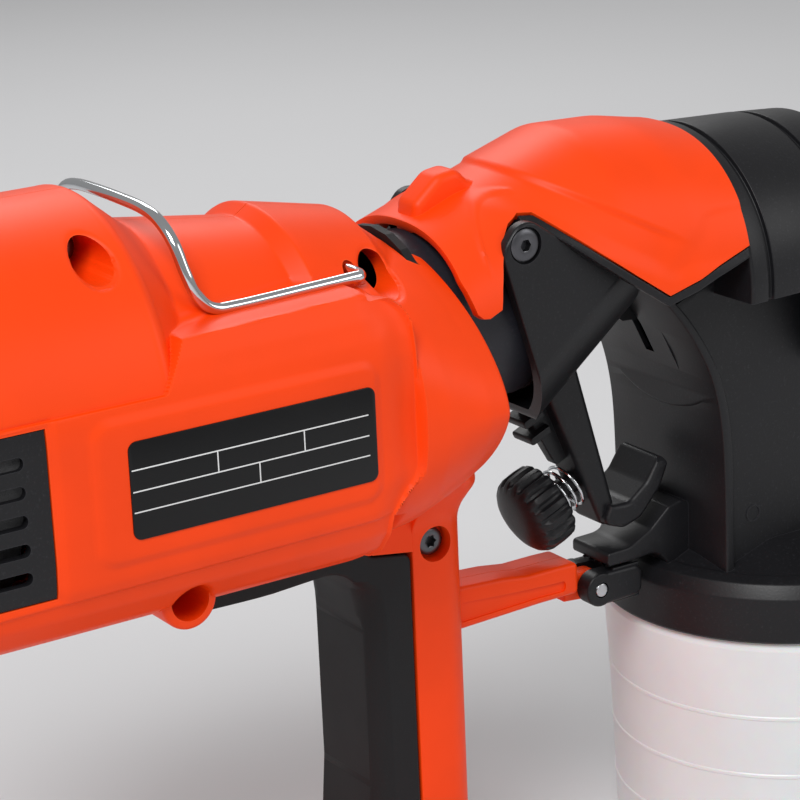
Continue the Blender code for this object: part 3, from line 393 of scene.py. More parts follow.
# a closed body through loops of points, all of one length
def bridged(name, loops):
    bm = bmesh.new()
    rims = []
    for loop in loops:
        ring = [bm.verts.new(Vector(point) * mm) for point in loop]
        rims.append([bm.edges.new((ring[i - 1], ring[i])) for i in range(len(ring))])
    for first, second in zip(rims, rims[1:]):
        bmesh.ops.bridge_loops(bm, edges=first + second)
    for rim in (rims[0], rims[-1]):
        bmesh.ops.contextual_create(bm, geom=rim)
    seal(bm)
    return toObject(bm, name)


# a long bar with a rounded underside, tilted along the gun; lift raises its underside
def channel(name, halfWidth, radius, lift, start, tilt):
    outline = roundedPath([(-halfWidth, lift, radius), (halfWidth, lift, radius), (halfWidth, 140, 0),
                           (-halfWidth, 140, 0)], 16)
    bar = slab(name, outline, "x", -60, 90)
    shift = Matrix.Translation(Vector((start[0], 0, start[1])) * mm)
    bar.data.transform(shift @ Matrix.Rotation(-tilt, 4, "Y"))
    return bar


def wireCurve(name, points, radius, sides=6):
    curve = bpy.data.curves.new(name, "CURVE")
    curve.dimensions = "3D"
    curve.bevel_depth = radius * mm
    curve.bevel_resolution = sides
    curve.use_fill_caps = True
    spline = curve.splines.new("POLY")
    spline.points.add(len(points) - 1)
    for knot, point in zip(spline.points, points):
        knot.co = (*(Vector(point) * mm), 1)
    made = bpy.data.objects.new(name, curve)
    bpy.context.scene.collection.objects.link(made)
    return made


# a grid wrapped round the main axis; radius is an array for every turn (rows) and x (columns)
def wrapped(name, xs, turns, radius, closed=True):
    bm = bmesh.new()
    bmesh.ops.create_grid(bm, x_segments=len(xs) - 1, y_segments=len(turns) - 1, size=1)
    mesh = bpy.data.meshes.new(name)
    bm.to_mesh(mesh)
    bm.free()
    places = np.empty(len(mesh.vertices) * 3)
    mesh.vertices.foreach_get("co", places)
    places = places.reshape(-1, 3)
    column = np.rint((places[:, 0] + 1) / 2 * (len(xs) - 1)).astype(int)
    row = np.rint((places[:, 1] + 1) / 2 * (len(turns) - 1)).astype(int)
    reach = radius[row, column]
    angle = turns[row] if turns.ndim == 1 else turns[row, column]
    places[:, 0] = xs[column]
    places[:, 1] = -reach * np.sin(angle)
    places[:, 2] = axisHeight + reach * np.cos(angle)
    mesh.vertices.foreach_set("co", (places * mm).ravel())
    bm = bmesh.new()
    bm.from_mesh(mesh)
    bpy.data.meshes.remove(mesh)
    if closed:
        bmesh.ops.remove_doubles(bm, verts=bm.verts, dist=2e-6)
        rims = [e for e in bm.edges if len(e.link_faces) == 1]
        for end in (min, max):
            level = end(xs) * mm
            loop = [e for e in rims if all(abs(v.co.x - level) < 1e-6 for v in e.verts)]
            bmesh.ops.contextual_create(bm, geom=loop)
        bmesh.ops.recalc_face_normals(bm, faces=bm.faces)
    return toObject(bm, name)


def isClosed(mesh):
    bm = bmesh.new()
    bm.from_mesh(mesh)
    closed = all(len(e.link_faces) == 2 for e in bm.edges)
    bm.free()
    return closed


def combine(target, tools, operation):
    for tool in tools:
        for solver in ("MANIFOLD", "EXACT"):
            modifier = target.modifiers.new("shape", "BOOLEAN")
            modifier.operation = operation
            modifier.object = tool
            modifier.solver = solver
            shape = target.evaluated_get(bpy.context.evaluated_depsgraph_get())
            mesh = bpy.data.meshes.new_from_object(shape)
            target.modifiers.clear()
            if len(mesh.polygons) and isClosed(mesh):
                break
        else:
            print("open after", operation, tool.name, "on", target.name)
        target.data = mesh
        bpy.data.objects.remove(tool, do_unlink=True)
    return target


def join(target, *tools):
    return combine(target, tools, "UNION")


def cut(target, *tools):
    return combine(target, tools, "DIFFERENCE")


def keep(target, tool):
    return combine(target, [tool], "INTERSECT")


def place(made, body, nodes, slot, finish=None, sharp=40, weighted=False):
    if made.type == "MESH":
        made.data.shade_smooth()
        made.data.set_sharp_from_angle(angle=radians(sharp))
    if weighted:
        soft = made.modifiers.new("even shading", "WEIGHTED_NORMAL")
        soft.keep_sharp = True
    made.data.materials.clear()
    made.data.materials.append(finishes[finish or slot])
    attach(made, body)
    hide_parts(*nodes)
    return made


def smoothMax(a, b, blend):
    h = np.clip(0.5 + 0.5 * (a - b) / blend, 0, 1)
    return b * (1 - h) + a * h + blend * h * (1 - h) * 0.5


def smoothMin(a, b, blend):
    return -smoothMax(-a, -b, blend)


def ease(value, low, high):
    t = np.clip((value - low) / (high - low), 0, 1)
    return t * t * (3 - 2 * t)


# distance from an oval to the main axis, at an angle from the top
def ovalReach(turn, middle, halfWidth, up, down, powerUp, powerDown):
    low = np.zeros(np.broadcast(turn, halfWidth).shape)
    high = low + 90
    s, c = np.abs(np.sin(turn)), np.cos(turn)
    for step in range(26):
        mid = (low + high) / 2
        rise = axisHeight + mid * c - middle
        power = np.where(rise >= 0, powerUp, powerDown)
        height = np.where(rise >= 0, up, down)
        outside = (mid * s / halfWidth) ** power + (np.abs(rise) / height) ** power > 1
        high = np.where(outside, mid, high)
        low = np.where(outside, low, mid)
    return (low + high) / 2


def spaced(bands):  # (start, end, spacing) bands to one rising list
    parts = [np.linspace(a, b, max(2, int(round((b - a) / size)) + 1))[:-1] for a, b, size in bands]
    return np.concatenate(parts + [[bands[-1][1]]])


# motor housing: the barrel is a grid wrapped round the axis and pushed out to the real surface
housing = {
    "rearX": -283, "frontX": -131,
    "crease": ((-283, 192.2), (-225.2, 192.5), (-218.4, 204), (-166.8, 205.4), (-131, 205.4)),
    "crown": ((-283, 30), (-216, 42), (-211.8, 41.4), (-192.7, 38.7), (-177.6, 36.6), (-173.4, 39.4),
              (-149.5, 34.6), (-145.3, 30.6), (-131, 20)),
    "belly": ((40, 214), (45, 205.5), (47.4, 199.5), (48.9, 194), (49.7, 189.5), (49.9, 186),
              (49.9, 158), (49.3, 151), (46.8, 143.5), (42, 137.6), (36, 134.2), (28, 132.8),
              (0, 132.4)),
    "front": ((-166, 172, 50, 34, 38.5, 3, 2.6), (-160, 172, 51.2, 37, 39.5, 2.4, 2.5),
              (-150, 171, 52.4, 37.5, 39, 2, 2.1), (-138, 169.5, 52.4, 36.5, 35.5, 1.7, 1.7),
              (-131, 169, 51.4, 35.4, 33.5, 1.6, 1.5)),
    "panel": (-246, -168.5, 154.5, 190, 5), "panelRise": 0.7,
    "bands": ((-283, -274, 0.6), (-274, -262, 1.2), (-262, -253, 0.7), (-253, -240, 0.9),
              (-240, -208, 0.5), (-208, -180, 0.8), (-180, -143, 0.45), (-143, -133, 0.7),
              (-133, -131, 0.25)),
    "turnBands": ((0, 20, 1.4), (20, 50, 0.75), (50, 82, 0.5), (82, 108, 0.7), (108, 130, 0.4),
                  (130, 150, 0.8), (150, 180, 1.5)),
}


def screwPlace(name):
    low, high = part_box(name)
    return ((low[0] + high[0]) / 2 / mm, (low[2] + high[2]) / 2 / mm)


screwNames = ["housing_screw_" + part for part in ("rear_top", "front_top", "rear_low", "handle", "foot")]
screwPlaces = {name: screwPlace(name) for name in screwNames}


def bellyReach(turns):
    points = np.array(housing["belly"])
    dense = np.linspace(0, len(points) - 1, 1200)
    y = np.interp(dense, np.arange(len(points)), points[:, 0])
    z = np.interp(dense, np.arange(len(points)), points[:, 1])
    angle = np.arctan2(y, z - axisHeight)
    even = np.linspace(0, pi, 721)
    reach = np.interp(even, angle, np.hypot(y, z - axisHeight))
    window = np.hanning(17)
    reach = np.convolve(np.pad(reach, 8, mode="edge"), window / window.sum(), mode="valid")
    return np.interp(turns, even, reach)


# distance from the main axis to the barrel's surface
def barrelReach(xs, turns, right=True):
    x = xs[None, :]
    t = turns[:, None]
    roundDepth, roundLength = 7, 8
    toEnd = np.clip(housing["rearX"] + roundLength - x, 0, roundLength) / roundLength
    endRound = roundDepth * (1 - np.sqrt(np.clip(1 - toEnd ** 2, 0, 1)))
    rear = ovalReach(t, axisHeight, 49.3 - endRound, 51.6 - endRound, 48 - endRound, 2, 2.2)
    rear = smoothMin(rear, rear - 0.84 * (x + 223), 1.6)
    side = bellyReach(t) - endRound
    zSide = axisHeight + side * np.cos(t)
    crease = np.interp(x, *np.array(housing["crease"]).T)
    ledge = np.where(np.cos(t) > 0.05, (crease - axisHeight) / np.maximum(np.cos(t), 0.05), 500)
    # the belly ends at a rounded line in front, with a hollow before it
    corner = 10
    qx, qz = x + 156.7 + corner + 8 * ease(-zSide, -160, -147), zSide - (204.6 - corner)
    border = np.hypot(np.maximum(qx, 0), np.maximum(qz, 0)) + np.minimum(np.maximum(qx, qz), 0) - corner
    forward = ease(x, -172, -160)
    hollow = 1.6 * ease(border, -12, -1.6) * (1 - ease(border, -0.9, 0.2)) * forward
    low, high = housing["panel"][:2]
    pz = np.abs(zSide - (housing["panel"][2] + housing["panel"][3]) / 2)
    px = np.abs(x - (low + high) / 2)
    inner = housing["panel"][4]
    dx = px - ((high - low) / 2 - inner)
    dz = pz - ((housing["panel"][3] - housing["panel"][2]) / 2 - inner)
    edge = np.hypot(np.maximum(dx, 0), np.maximum(dz, 0)) + np.minimum(np.maximum(dx, dz), 0) - inner
    side = side - hollow + housing["panelRise"] * (1 - ease(edge, -2.2, 0.8))
    side = side - (6 * ease(border, -0.3, 1.9) + 1.2 * np.clip(border, 0, 30)) * forward
    side = side - 0.7 * (1 - ease(zSide - 149 - 0.012 * (x + 170), -0.9, 0.5)) * (1 - forward)
    belly = smoothMin(side, ledge, 1.2)
    crown = np.interp(x, *np.array(housing["crown"]).T) + 0 * t
    table = np.array(housing["front"])
    middle, half, up, down, powerUp, powerDown = [np.interp(x, table[:, 0], table[:, i]) for i in range(1, 7)]
    dome = ovalReach(t, middle, half, up, down, powerUp, powerDown)
    low = ease(t, radians(50), radians(60))
    inside = (1 - ease(border, -1.4, 0.6)) * low * (t < radians(128)) + (1 - ease(x, -172, -158)) * (1 - low)
    inside = inside + (1 - ease(x, -166, -158)) * (t >= radians(128))
    dome = dome - 6 * np.clip(inside, 0, 1)
    reach = smoothMax(smoothMax(belly, crown, 3), rear, 0.8)
    reach = smoothMax(reach, dome, 0.8)
    rimRound = 1.3
    intoRim = np.clip(x - (housing["frontX"] - rimRound), 0, rimRound) / rimRound
    reach = reach - rimRound * (1 - np.sqrt(np.clip(1 - intoRim ** 2, 0, 1)))
    z = axisHeight + reach * np.cos(t)
    if right:  # softened rims of the screw recesses
        recessRim = 6.3
        for name in screwNames[:3]:
            away = np.hypot(x - screwPlaces[name][0], z - screwPlaces[name][1])
            rim = np.clip((recessRim - away) / 1.3, 0, 1)
            reach = reach - 1.1 * (1 - np.sqrt(1 - np.minimum(rim, 0.999) ** 2)) * (away < recessRim)
    frameEdge = np.maximum(np.abs(z - 170.5) - 20.5, x + 256)
    reach = reach - 0.9 * (1 - ease(frameEdge, 0, 2.6)) * (np.abs(t - pi / 2) < 0.8)
    return reach


def barrelSolid(name, inset, bands, turnBands):
    xs = spaced(bands)
    half = np.radians(spaced(turnBands))
    right = barrelReach(xs, half)
    left = barrelReach(xs, half, right=False)
    turns = np.concatenate([half, 2 * pi - half[::-1][1:]])
    reach = np.concatenate([right, left[::-1][1:]]) - inset
    return wrapped(name, xs, turns, reach)


def handleSolid():
    outline = roundedPath([(-139.3, -16, 0.4), (-121.2, -16, 8), (-121.2, 16, 8), (-139.3, 16, 0.4)], 8)
    loops = []
    for z in [18, 20, 24, 30, 40, 80, 120] + list(np.arange(126, 160.5, 1.5)):
        wide = 1 + 0.95 * float(ease(z, 128, 150)) + 0.14 * float(ease(-z, -40, -20))
        lean = 11 * float(ease(z, 141, 159))
        loops.append([(x - lean * (x > -138), y * wide, z) for x, y in outline])
    return bridged("handle", loops)


def footSolid(inset, low, high, edge):
    outline = rectangle((-208 + inset, -112 - inset), (-33 + inset, 33 - inset), 14, 10)
    return slab("foot", outline, "z", low, high, edge, 6)


def armSolid():
    outline = roundedPath([(-126, 106.5, 0), (-104, 105, 12), (-96, 103.8, 6), (-86, 103.8, 6),
                           (-79, 103.6, 1.5), (-79, 94.5, 1.5), (-92, 94.5, 20), (-126, 93.5, 0)], 6)
    arm = slab("arm", outline, "y", -6.8, 6.8, 1.3, 3)
    panel = roundedPath([(-119, 101.6, 1.2), (-104, 100.4, 8), (-90, 99.6, 8), (-83.5, 99.4, 1.2),
                         (-83.5, 96.2, 1.2), (-93, 96.4, 8), (-119, 95.7, 1.2)], 4)
    for side in (-1, 1):
        low, high = sorted((side * 5.9, side * 9))
        cut(arm, slab("armPanel", panel, "y", low, high, 0.25, 2))
    lug = roundedPath([(-81, 98.2, 0), (-67.8, 98.2, 4), (-67.8, 89.8, 4), (-81, 91, 0)], 6)
    return join(arm, slab("lug", lug, "y", -2.6, 2.6, 0.5, 2))


def housingTools():
    tools = [rod("bore", 33.5, onAxis(-248), alongX, 86, steps=96),
             lathe("plenum", [(0, 0), (0, 33.5), (22, 25.3), (23, 0)], onAxis(-163), alongX, 96),
             rod("rearRoom", 44, onAxis(-280), alongX, 33, steps=96),
             rod("outlet", 25.3, onAxis(-142), alongX, 20, steps=96),
             lathe("outletEdge", [(0, 0), (0, 24.6), (2.4, 27.4), (2.4, 0)], onAxis(-132.6), alongX, 96),
             rod("sealGroove", 27.6, onAxis(-138), alongX, 3, steps=96),
             block("window", (-300, -256), (-80, 80), (150, 191)),
             block("switchHole", (-300, -270), (-9.8, 9.8), (202.7, 217.3)),
             rod("glandHole", 5.8, (-218, 0, 12.5), alongX, 30)]
    for name, (x, z) in screwPlaces.items():
        tools.append(lathe("recess", [(0, 0), (0, 5.3), (59, 4.9), (59, 0)], (x, -70, z), alongY, 48))
        tools.append(rod("screwHole", 2.4, (x, -12, z), alongY, 23, steps=16))
    slot = roundedPath([(-168, 203.2, 1), (-158.2, 203.2, 2.4), (-158.2, 209.2, 2.4), (-168, 209.2, 1)], 5)
    for side in (-1, 1):
        low, high = sorted((side * 31.4, side * 60))
        tools.append(slab("hangerSlot", slot, "y", low, high))
        tools.append(rod("hangerHole", 2.1, (-161, side * 60, 206.2), (0, -side, 0), 36, steps=24))
    tools.append(rod("pinHole", 2.3, (-72, -20, 94), alongY, 40, steps=24))
    return tools


def buildHousing():
    outer = barrelSolid("housing_right_shell", 0, housing["bands"], housing["turnBands"])
    low = screwPlaces["housing_screw_rear_low"]
    boss = turned("boss", [(0, 0, 0), (0, 7.4, 1.2), (80, 7.4, 0), (80, 0, 0)], 4,
                  (low[0], -40, low[1]), alongY, 48)
    neck = [(-138.6, 123.9), (-151.6, 125.9), (-157.4, 131.7), (-157.4, 136), (-138.6, 136)]
    join(outer, boss, handleSolid(), slab("neck", neck, "y", -15.9, 15.9), footSolid(0, 3, 22, (1.5, 7)),
         armSolid())
    cut(outer, *housingTools())
    twin = outer.copy()
    twin.data = outer.data.copy()
    twin.name = "housing_left_shell"
    bpy.context.scene.collection.objects.link(twin)
    keep(outer, block("rightSide", (-320, -50), (-80, -0.12), (-10, 260)))
    keep(twin, block("leftSide", (-320, -50), (0.12, 80), (-10, 260)))
    for made, node in ((outer, "housing_right"), (twin, "housing_left")):
        place(made, "turbine_unit", [node], "orange_plastic", sharp=32)
        print(made.name, len(made.data.polygons), "faces")


def unitPieces():  # everything else on the motor unit
    body = "turbine_unit"
    split = -139.8
    grip = roundedPath([(split, 123.4, 2.5), (-152, 125.4, 4), (-158, 131.4, 1), (-162, 131.8, 0),
                        (-212, 131.8, 1), (-214.6, 127, 2), (-211.8, 120.8, 2), (-157, 124, 12),
                        (-153, 105, 20), (-153, 60, 20), (-157, 22.5, 2), (split, 22.5, 0)], 8)
    made = slab("grip_back_skin", grip, "y", -16, 16, 1, 3)
    levels = [(15, -157.6, 13), (30, -156.8, 13), (60, -153.4, 13), (104, -153.4, 13),
              (108, -153.6, 12.5), (112, -154.2, 11), (116, -155.6, 9), (119, -158.6, 7),
              (121, -164, 5), (122.5, -174, 3), (123.5, -216, 2), (135, -216, 2)]
    loops = []
    for z, rear, size in levels:
        outline = [(rear, -16.2, size), (-139, -16.2, 0), (-139, 16.2, 0), (rear, 16.2, size)]
        loops.append([(x, y, z) for x, y in roundedPath(outline, 10)])
    keep(made, bridged("gripRange", loops))
    place(made, body, ["grip_back"], "black_rubber", sharp=32, weighted=True)
    pad = footSolid(1.5, 0, 2.7, (0.7, 0.3))
    grooves = [block("groove", (-200 + 12 * i, -198.6 + 12 * i), (-26, 26), (-1, 0.8)) for i in range(7)]
    cut(pad, *grooves)
    pad.name = "foot_pad_skin"
    place(pad, body, ["foot_pad"], "black_rubber")
    profile = [(0, 3.3), (0, 4.6)]
    for i in range(4):
        at, r = 2.6 * i, 0.2 * i
        profile += [(1.4 + at, 4.7 + r), (1.5 + at, 4.1 + r), (2.5 + at, 4.2 + r), (2.6 + at, 4.9 + r)]
    profile += [(12, 5.5), (12, 8.1), (12.4, 8.5), (13.3, 8.5), (13.7, 8.1), (13.7, 5.5), (20, 5.5),
                (20, 3.3)]
    place(lathe("cord_gland_skin", profile, (-222, 0, 12.5), alongX, 48), body, ["cord_gland"],
          "black_rubber")
    outline = rectangle((-237, -170.3), (160.2, 184), 2.2, 8)
    plate = slab("plate_face", outline, "y", -50.9, -50.35, (0.2, 0), 2)
    place(plate, body, ["rating_plate"], "plate_black")
    for name, (x, z) in screwPlaces.items():
        profile = [(0.9, 0), (0, 1.9), (0, 3.1), (0.5, 3.8), (1.2, 3.9), (2.4, 3.9), (2.4, 1.9), (20, 1.9),
                   (22, 0)]
        screw = lathe(name + "_skin", profile, (x, -13.7, z), alongY, 32)
        spokes = [1.9 if i % 2 == 0 else 1.9 * 0.72 for i in range(12)]
        star = [(x + r * cos(pi * i / 6), z + r * sin(pi * i / 6)) for i, r in enumerate(spokes)]
        cut(screw, slab("socket", star, "y", -15, -11.6))
        place(screw, body, [name], "screw_steel")
    frameBody = block("switch_frame", (-284.7, -283.3), (-11.5, 11.5), (201, 219), 0.5)
    join(frameBody, block("switchBlock", (-284, -268), (-9.4, 9.4), (203.1, 216.9)))
    cut(frameBody, block("switchPocket", (-288, -275), (-7.6, 7.6), (204.6, 215.4)))
    place(frameBody, body, ["power_switch"], "black_plastic")
    rocker = roundedPath([(-286.9, 206, 0.4), (-284.9, 210, 6), (-284.9, 214.2, 0.4), (-279, 213.4, 0.5),
                          (-277, 210, 0.5), (-279, 206.4, 0.5), (-283, 205.8, 0.4)], 5)
    made = slab("rocker_skin", rocker, "y", -7.2, 7.2, 0.4, 3)
    for z in (207.6, 208.6, 209.6):
        cut(made, rod("rockerGroove", 0.25, (-285.9 + (z - 207.6) * 0.5, -5, z), alongY, 10, steps=12))
    place(made, "switch", ["switch_rocker"], "black_rubber")


cover = {"slots": 5, "slotHeight": 3.2, "inset": 0.35,
         "bands": ((-283, -275, 0.7), (-275, -250, 1)),
         "turnBands": ((0, 70, 3), (70, 140, 0.9), (140, 180, 3))}


def buildCover():
    made = barrelSolid("intake_cover_skin", cover["inset"], cover["bands"], cover["turnBands"])
    keep(made, block("coverRange", (-300, -256.3), (-80, 80), (150.3, 190.7)))
    room = barrelSolid("room", 3, cover["bands"], cover["turnBands"])
    keep(room, block("roomRange", (-280, -200), (-80, 80), (100, 260)))
    cut(made, room)
    pitch = 41 / (cover["slots"] + 1)
    half = cover["slotHeight"] / 2
    for i in range(cover["slots"]):
        z = 150 + pitch * (i + 1)
        slot = rectangle((-274, -262), (z - half, z + half), 1.5)
        rear = rectangle((-28, 28), (z - half, z + half), 1.5)
        cut(made, slab("sideSlot", slot, "y", -80, 80), slab("rearSlot", rear, "x", -300, -277))
    place(made, "intake_cover", ["filter_cover"], "black_plastic", sharp=32)


hook = {"keys": ((-161, 25.5, 206.2), (-161, 30.5, 206.2), (-162.2, 33.2, 206.2), (-165, 33.6, 206.2),
                 (-178, 33.6, 205.8), (-197, 33.6, 205.3), (-203.5, 33.6, 206), (-207.5, 33.3, 210),
                 (-209.4, 32.4, 215.2), (-210.6, 29.6, 222.2), (-211.2, 24.1, 226.7), (-211.4, 16.8, 228.4),
                 (-211.4, 6.7, 228.8)), "radius": 1.5}


def buildHook():
    keys = [(x, -y, z) for x, y, z in hook["keys"]] + list(hook["keys"])[::-1]
    wire = wireCurve("hanger_wire_skin", curvePath(keys, 10), hook["radius"], 8)
    place(wire, "hanger", ["hanger_wire"], "chrome_wire")


latch = {"x": -72, "z": 94, "radius": 4.9, "half": 8, "reach": 14.5, "ribs": 6}


def buildLatch():
    x, z, r, half = latch["x"], latch["z"], latch["radius"], latch["half"]
    lever = turned("latch_skin", [(0, 0, 0), (0, r, 0.7), (2 * half, r, 0.7), (2 * half, 0, 0)], 4,
                   (x, -half, z), alongY, 48)
    tip = x + latch["reach"]
    paddle = roundedPath([(x, z - r, 0), (tip, z - r + 0.4, 2.6),
                          (tip, z + r - 0.3, 3), (x, z + r - 0.1, 0)], 8)
    join(lever, slab("paddle", paddle, "y", -half, half, 1.4, 4))
    for i in range(latch["ribs"]):  # grip ribs run along the paddle, on top and below
        y = -half + 2 * half * (i + 0.5) / latch["ribs"]
        for side in (-1, 1):
            rib = turned("rib", [(0, 0, 0), (0, 0.55, 0.4), (9, 0.55, 0.4), (9, 0, 0)], 3,
                         (x + 4.6, y, z + side * (r - 0.25)), alongX, 12)
            join(lever, rib)
    cut(lever, rod("slot", 6.6, (x, -2.9, z), alongY, 5.8, steps=40),
        rod("pinHole", 2.3, (x, -20, z), alongY, 40, steps=24))
    place(lever, "latch", ["latch_lever"], "black_plastic", weighted=True)
    end = 2 * half + 0.4
    pin = turned("latch_pin_skin", [(0, 0, 0), (0, 2, 0.5), (end, 2, 0.5), (end, 0, 0)], 4,
                 (x, -half - 0.2, z), alongY, 32)
    for side in (-1, 1):
        shift = Matrix.Translation(Vector((x, side * (half + 0.2), z)) * mm)
        nick = block("nick", (-3, 3), (-0.5, 0.5), (-0.3, 0.3))
        nick.data.transform(shift @ Matrix.Rotation(radians(35), 4, "Y"))
        cut(pin, nick)
    place(pin, "latch", ["latch_pin"], "bright_steel")


pivot = (-109, 203.5)  # the trigger's screws

# gun: the orange shell is a skin wrapped over the gun's head, ended at its lower edge
gun = {
    "sections": ((-131, 27, 33), (-101, 38.5, 33.5), (-80, 45, 36), (-60, 44, 39),
                 (-44, 41, 41), (-40, 41, 41)),
    "power": 2.3, "wall": 2.5, "half": 24.3, "wallHalf": 25.4, "panelHalf": 23.6,
    "ramp": (-99.5, 156.6), "collar": (-99.5, 156.9), "rampTilt": radians(34.06),
    "edge": ((-129.2, 198), (-127, 189.4), (-125.4, 188), (-123.6, 187.8), (-119.7, 189.4), (-118.5, 194.2),
             (-116.5, 199.8), (-113.8, 205.3), (-110.6, 208.5), (-106.8, 210.5), (-102.8, 210.2),
             (-97.8, 206.1), (-88.9, 199), (-78.4, 191.1), (-69.7, 184.8), (-60.7, 187.7), (-54.5, 190.5),
             (-44.3, 194.3)),
    "wallLine": ((-63.5, 180.8), (-56.5, 172.5), (-50.6, 163.6), (-45.6, 153), (-42.6, 139), (-41.6, 120),
                 (-41.5, 94)),
}


def shellReach(x, turn, inset=0):
    table = np.array(gun["sections"])
    smooth = np.linspace(-134, -36, 197)
    window = np.hanning(13)
    sizes = []
    for column in (1, 2):
        values = np.interp(smooth, table[:, 0], table[:, column])
        values = np.convolve(np.pad(values, 6, mode="edge"), window / window.sum(), mode="valid")
        sizes.append(np.interp(x, smooth, values) - inset)
    up, half = sizes
    s, c = np.abs(np.sin(turn)), np.cos(turn)
    height = np.where(c > 0, up, half)
    power = gun["power"]
    reach = ((s / half) ** power + (np.abs(c) / height) ** power) ** (-1 / power)
    z = axisHeight + reach * c
    # side facets: a hollow band that falls towards the front, and a flat low corner in front
    line = 231 - 0.56 * (x + 121) - z
    band = ease(line, 0, 1.5) * (1 - ease(line, 8, 15)) * ease(x, -124, -112) * (1 - ease(x, -74, -60))
    corner = ease(x - 0.9 * (z - 197), -66, -58) * ease(z, 188, 193) * (1 - ease(z, 203, 206)) * (x > -72)
    notch = np.abs(np.hypot(x + 105, z - 200) - 15.6)
    ridge = (1 - ease(notch, 0, 0.9)) * ease(z, 196, 203) * (x < -104)
    return reach - 0.95 * band - 0.5 * corner + 0.35 * ridge


def edgeTurn(x, level):  # angle at which the skin reaches a height
    turns = np.linspace(0, pi * 0.6, 400)
    heights = axisHeight + shellReach(x + 0 * turns, turns) * np.cos(turns)
    return float(np.interp(-level, -heights, turns))


def skinStrip(name, edges, drop, inset, thickness, rows):
    xs, levels = [], []
    for (x0, z0), (x1, z1) in zip(edges, edges[1:]):
        count = max(2, int(abs(x1 - x0) / 0.75) + 1)
        for k in range(count):
            xs.append(x0 + (x1 - x0) * k / count)
            levels.append(z0 + (z1 - z0) * k / count)
    xs.append(edges[-1][0])
    levels.append(edges[-1][1])
    xs = np.array(xs)
    last = np.array([edgeTurn(x, level - drop[1]) for x, level in zip(xs, levels)])
    if drop[0] is None:
        turns = np.linspace(-1, 1, rows)[:, None] * last[None, :]
        parts = [turns]
    else:
        first = np.array([edgeTurn(x, level - drop[0]) for x, level in zip(xs, levels)])
        half = first[None, :] + np.linspace(0, 1, rows)[:, None] * (last - first)[None, :]
        parts = [half, -half]
    made = []
    for turns in parts:
        reach = shellReach(xs[None, :] + 0 * turns, turns, inset)
        strip = wrapped(name, xs, turns, reach, closed=False)
        bm = bmesh.new()
        bm.from_mesh(strip.data)
        bmesh.ops.recalc_face_normals(bm, faces=bm.faces)
        centre = Vector(onAxis(0)) * mm
        across = [(f.calc_center_median() - centre) * Vector((0, 1, 1)) for f in bm.faces]
        if sum(away.dot(f.normal) for away, f in zip(across, bm.faces)) < 0:
            bmesh.ops.reverse_faces(bm, faces=bm.faces)
        bm.to_mesh(strip.data)
        bm.free()
        wall = strip.modifiers.new("wall", "SOLIDIFY")
        wall.thickness = thickness * mm
        wall.offset = -1
        wall.use_even_offset = True
        rim = strip.modifiers.new("rim", "BEVEL")
        rim.width = 0.35 * mm
        rim.segments = 2
        rim.limit_method = "ANGLE"
        rim.angle_limit = radians(55)
        shape = strip.evaluated_get(bpy.context.evaluated_depsgraph_get())
        strip.data = bpy.data.meshes.new_from_object(shape)
        strip.modifiers.clear()
        made.append(strip)
    return made


def buildShell():
    shell = skinStrip("gun_shell_skin", gun["edge"], (None, 0), 0, gun["wall"], 181)[0]
    spine = roundedPath([(-127.5, 205, 0), (-126.6, 213, 3), (-119, 219.4, 5), (-113, 220.2, 4),
                         (-109.5, 216.5, 3), (-100, 214, 0)], 7)
    join(shell, slab("spine", spine, "y", -5, 5, 2.4, 5))
    place(shell, "gun", ["gun_shell"], "orange_plastic", sharp=38)
    print("shell", len(shell.data.polygons))


def headSolid(name, inset, xs):
    turns = np.radians(np.arange(0, 360.1, 2.5))
    table = np.array(gun["sections"])
    up = np.interp(xs, table[:, 0], table[:, 1])[None, :] - inset
    half = np.interp(xs, table[:, 0], table[:, 2])[None, :] - inset
    s, c = np.abs(np.sin(turns))[:, None], np.cos(turns)[:, None]
    height = np.where(c > 0, up, 80)
    power = gun["power"]
    reach = ((s / half) ** power + (np.abs(c) / height) ** power) ** (-1 / power)
    return wrapped(name, xs, turns, reach)


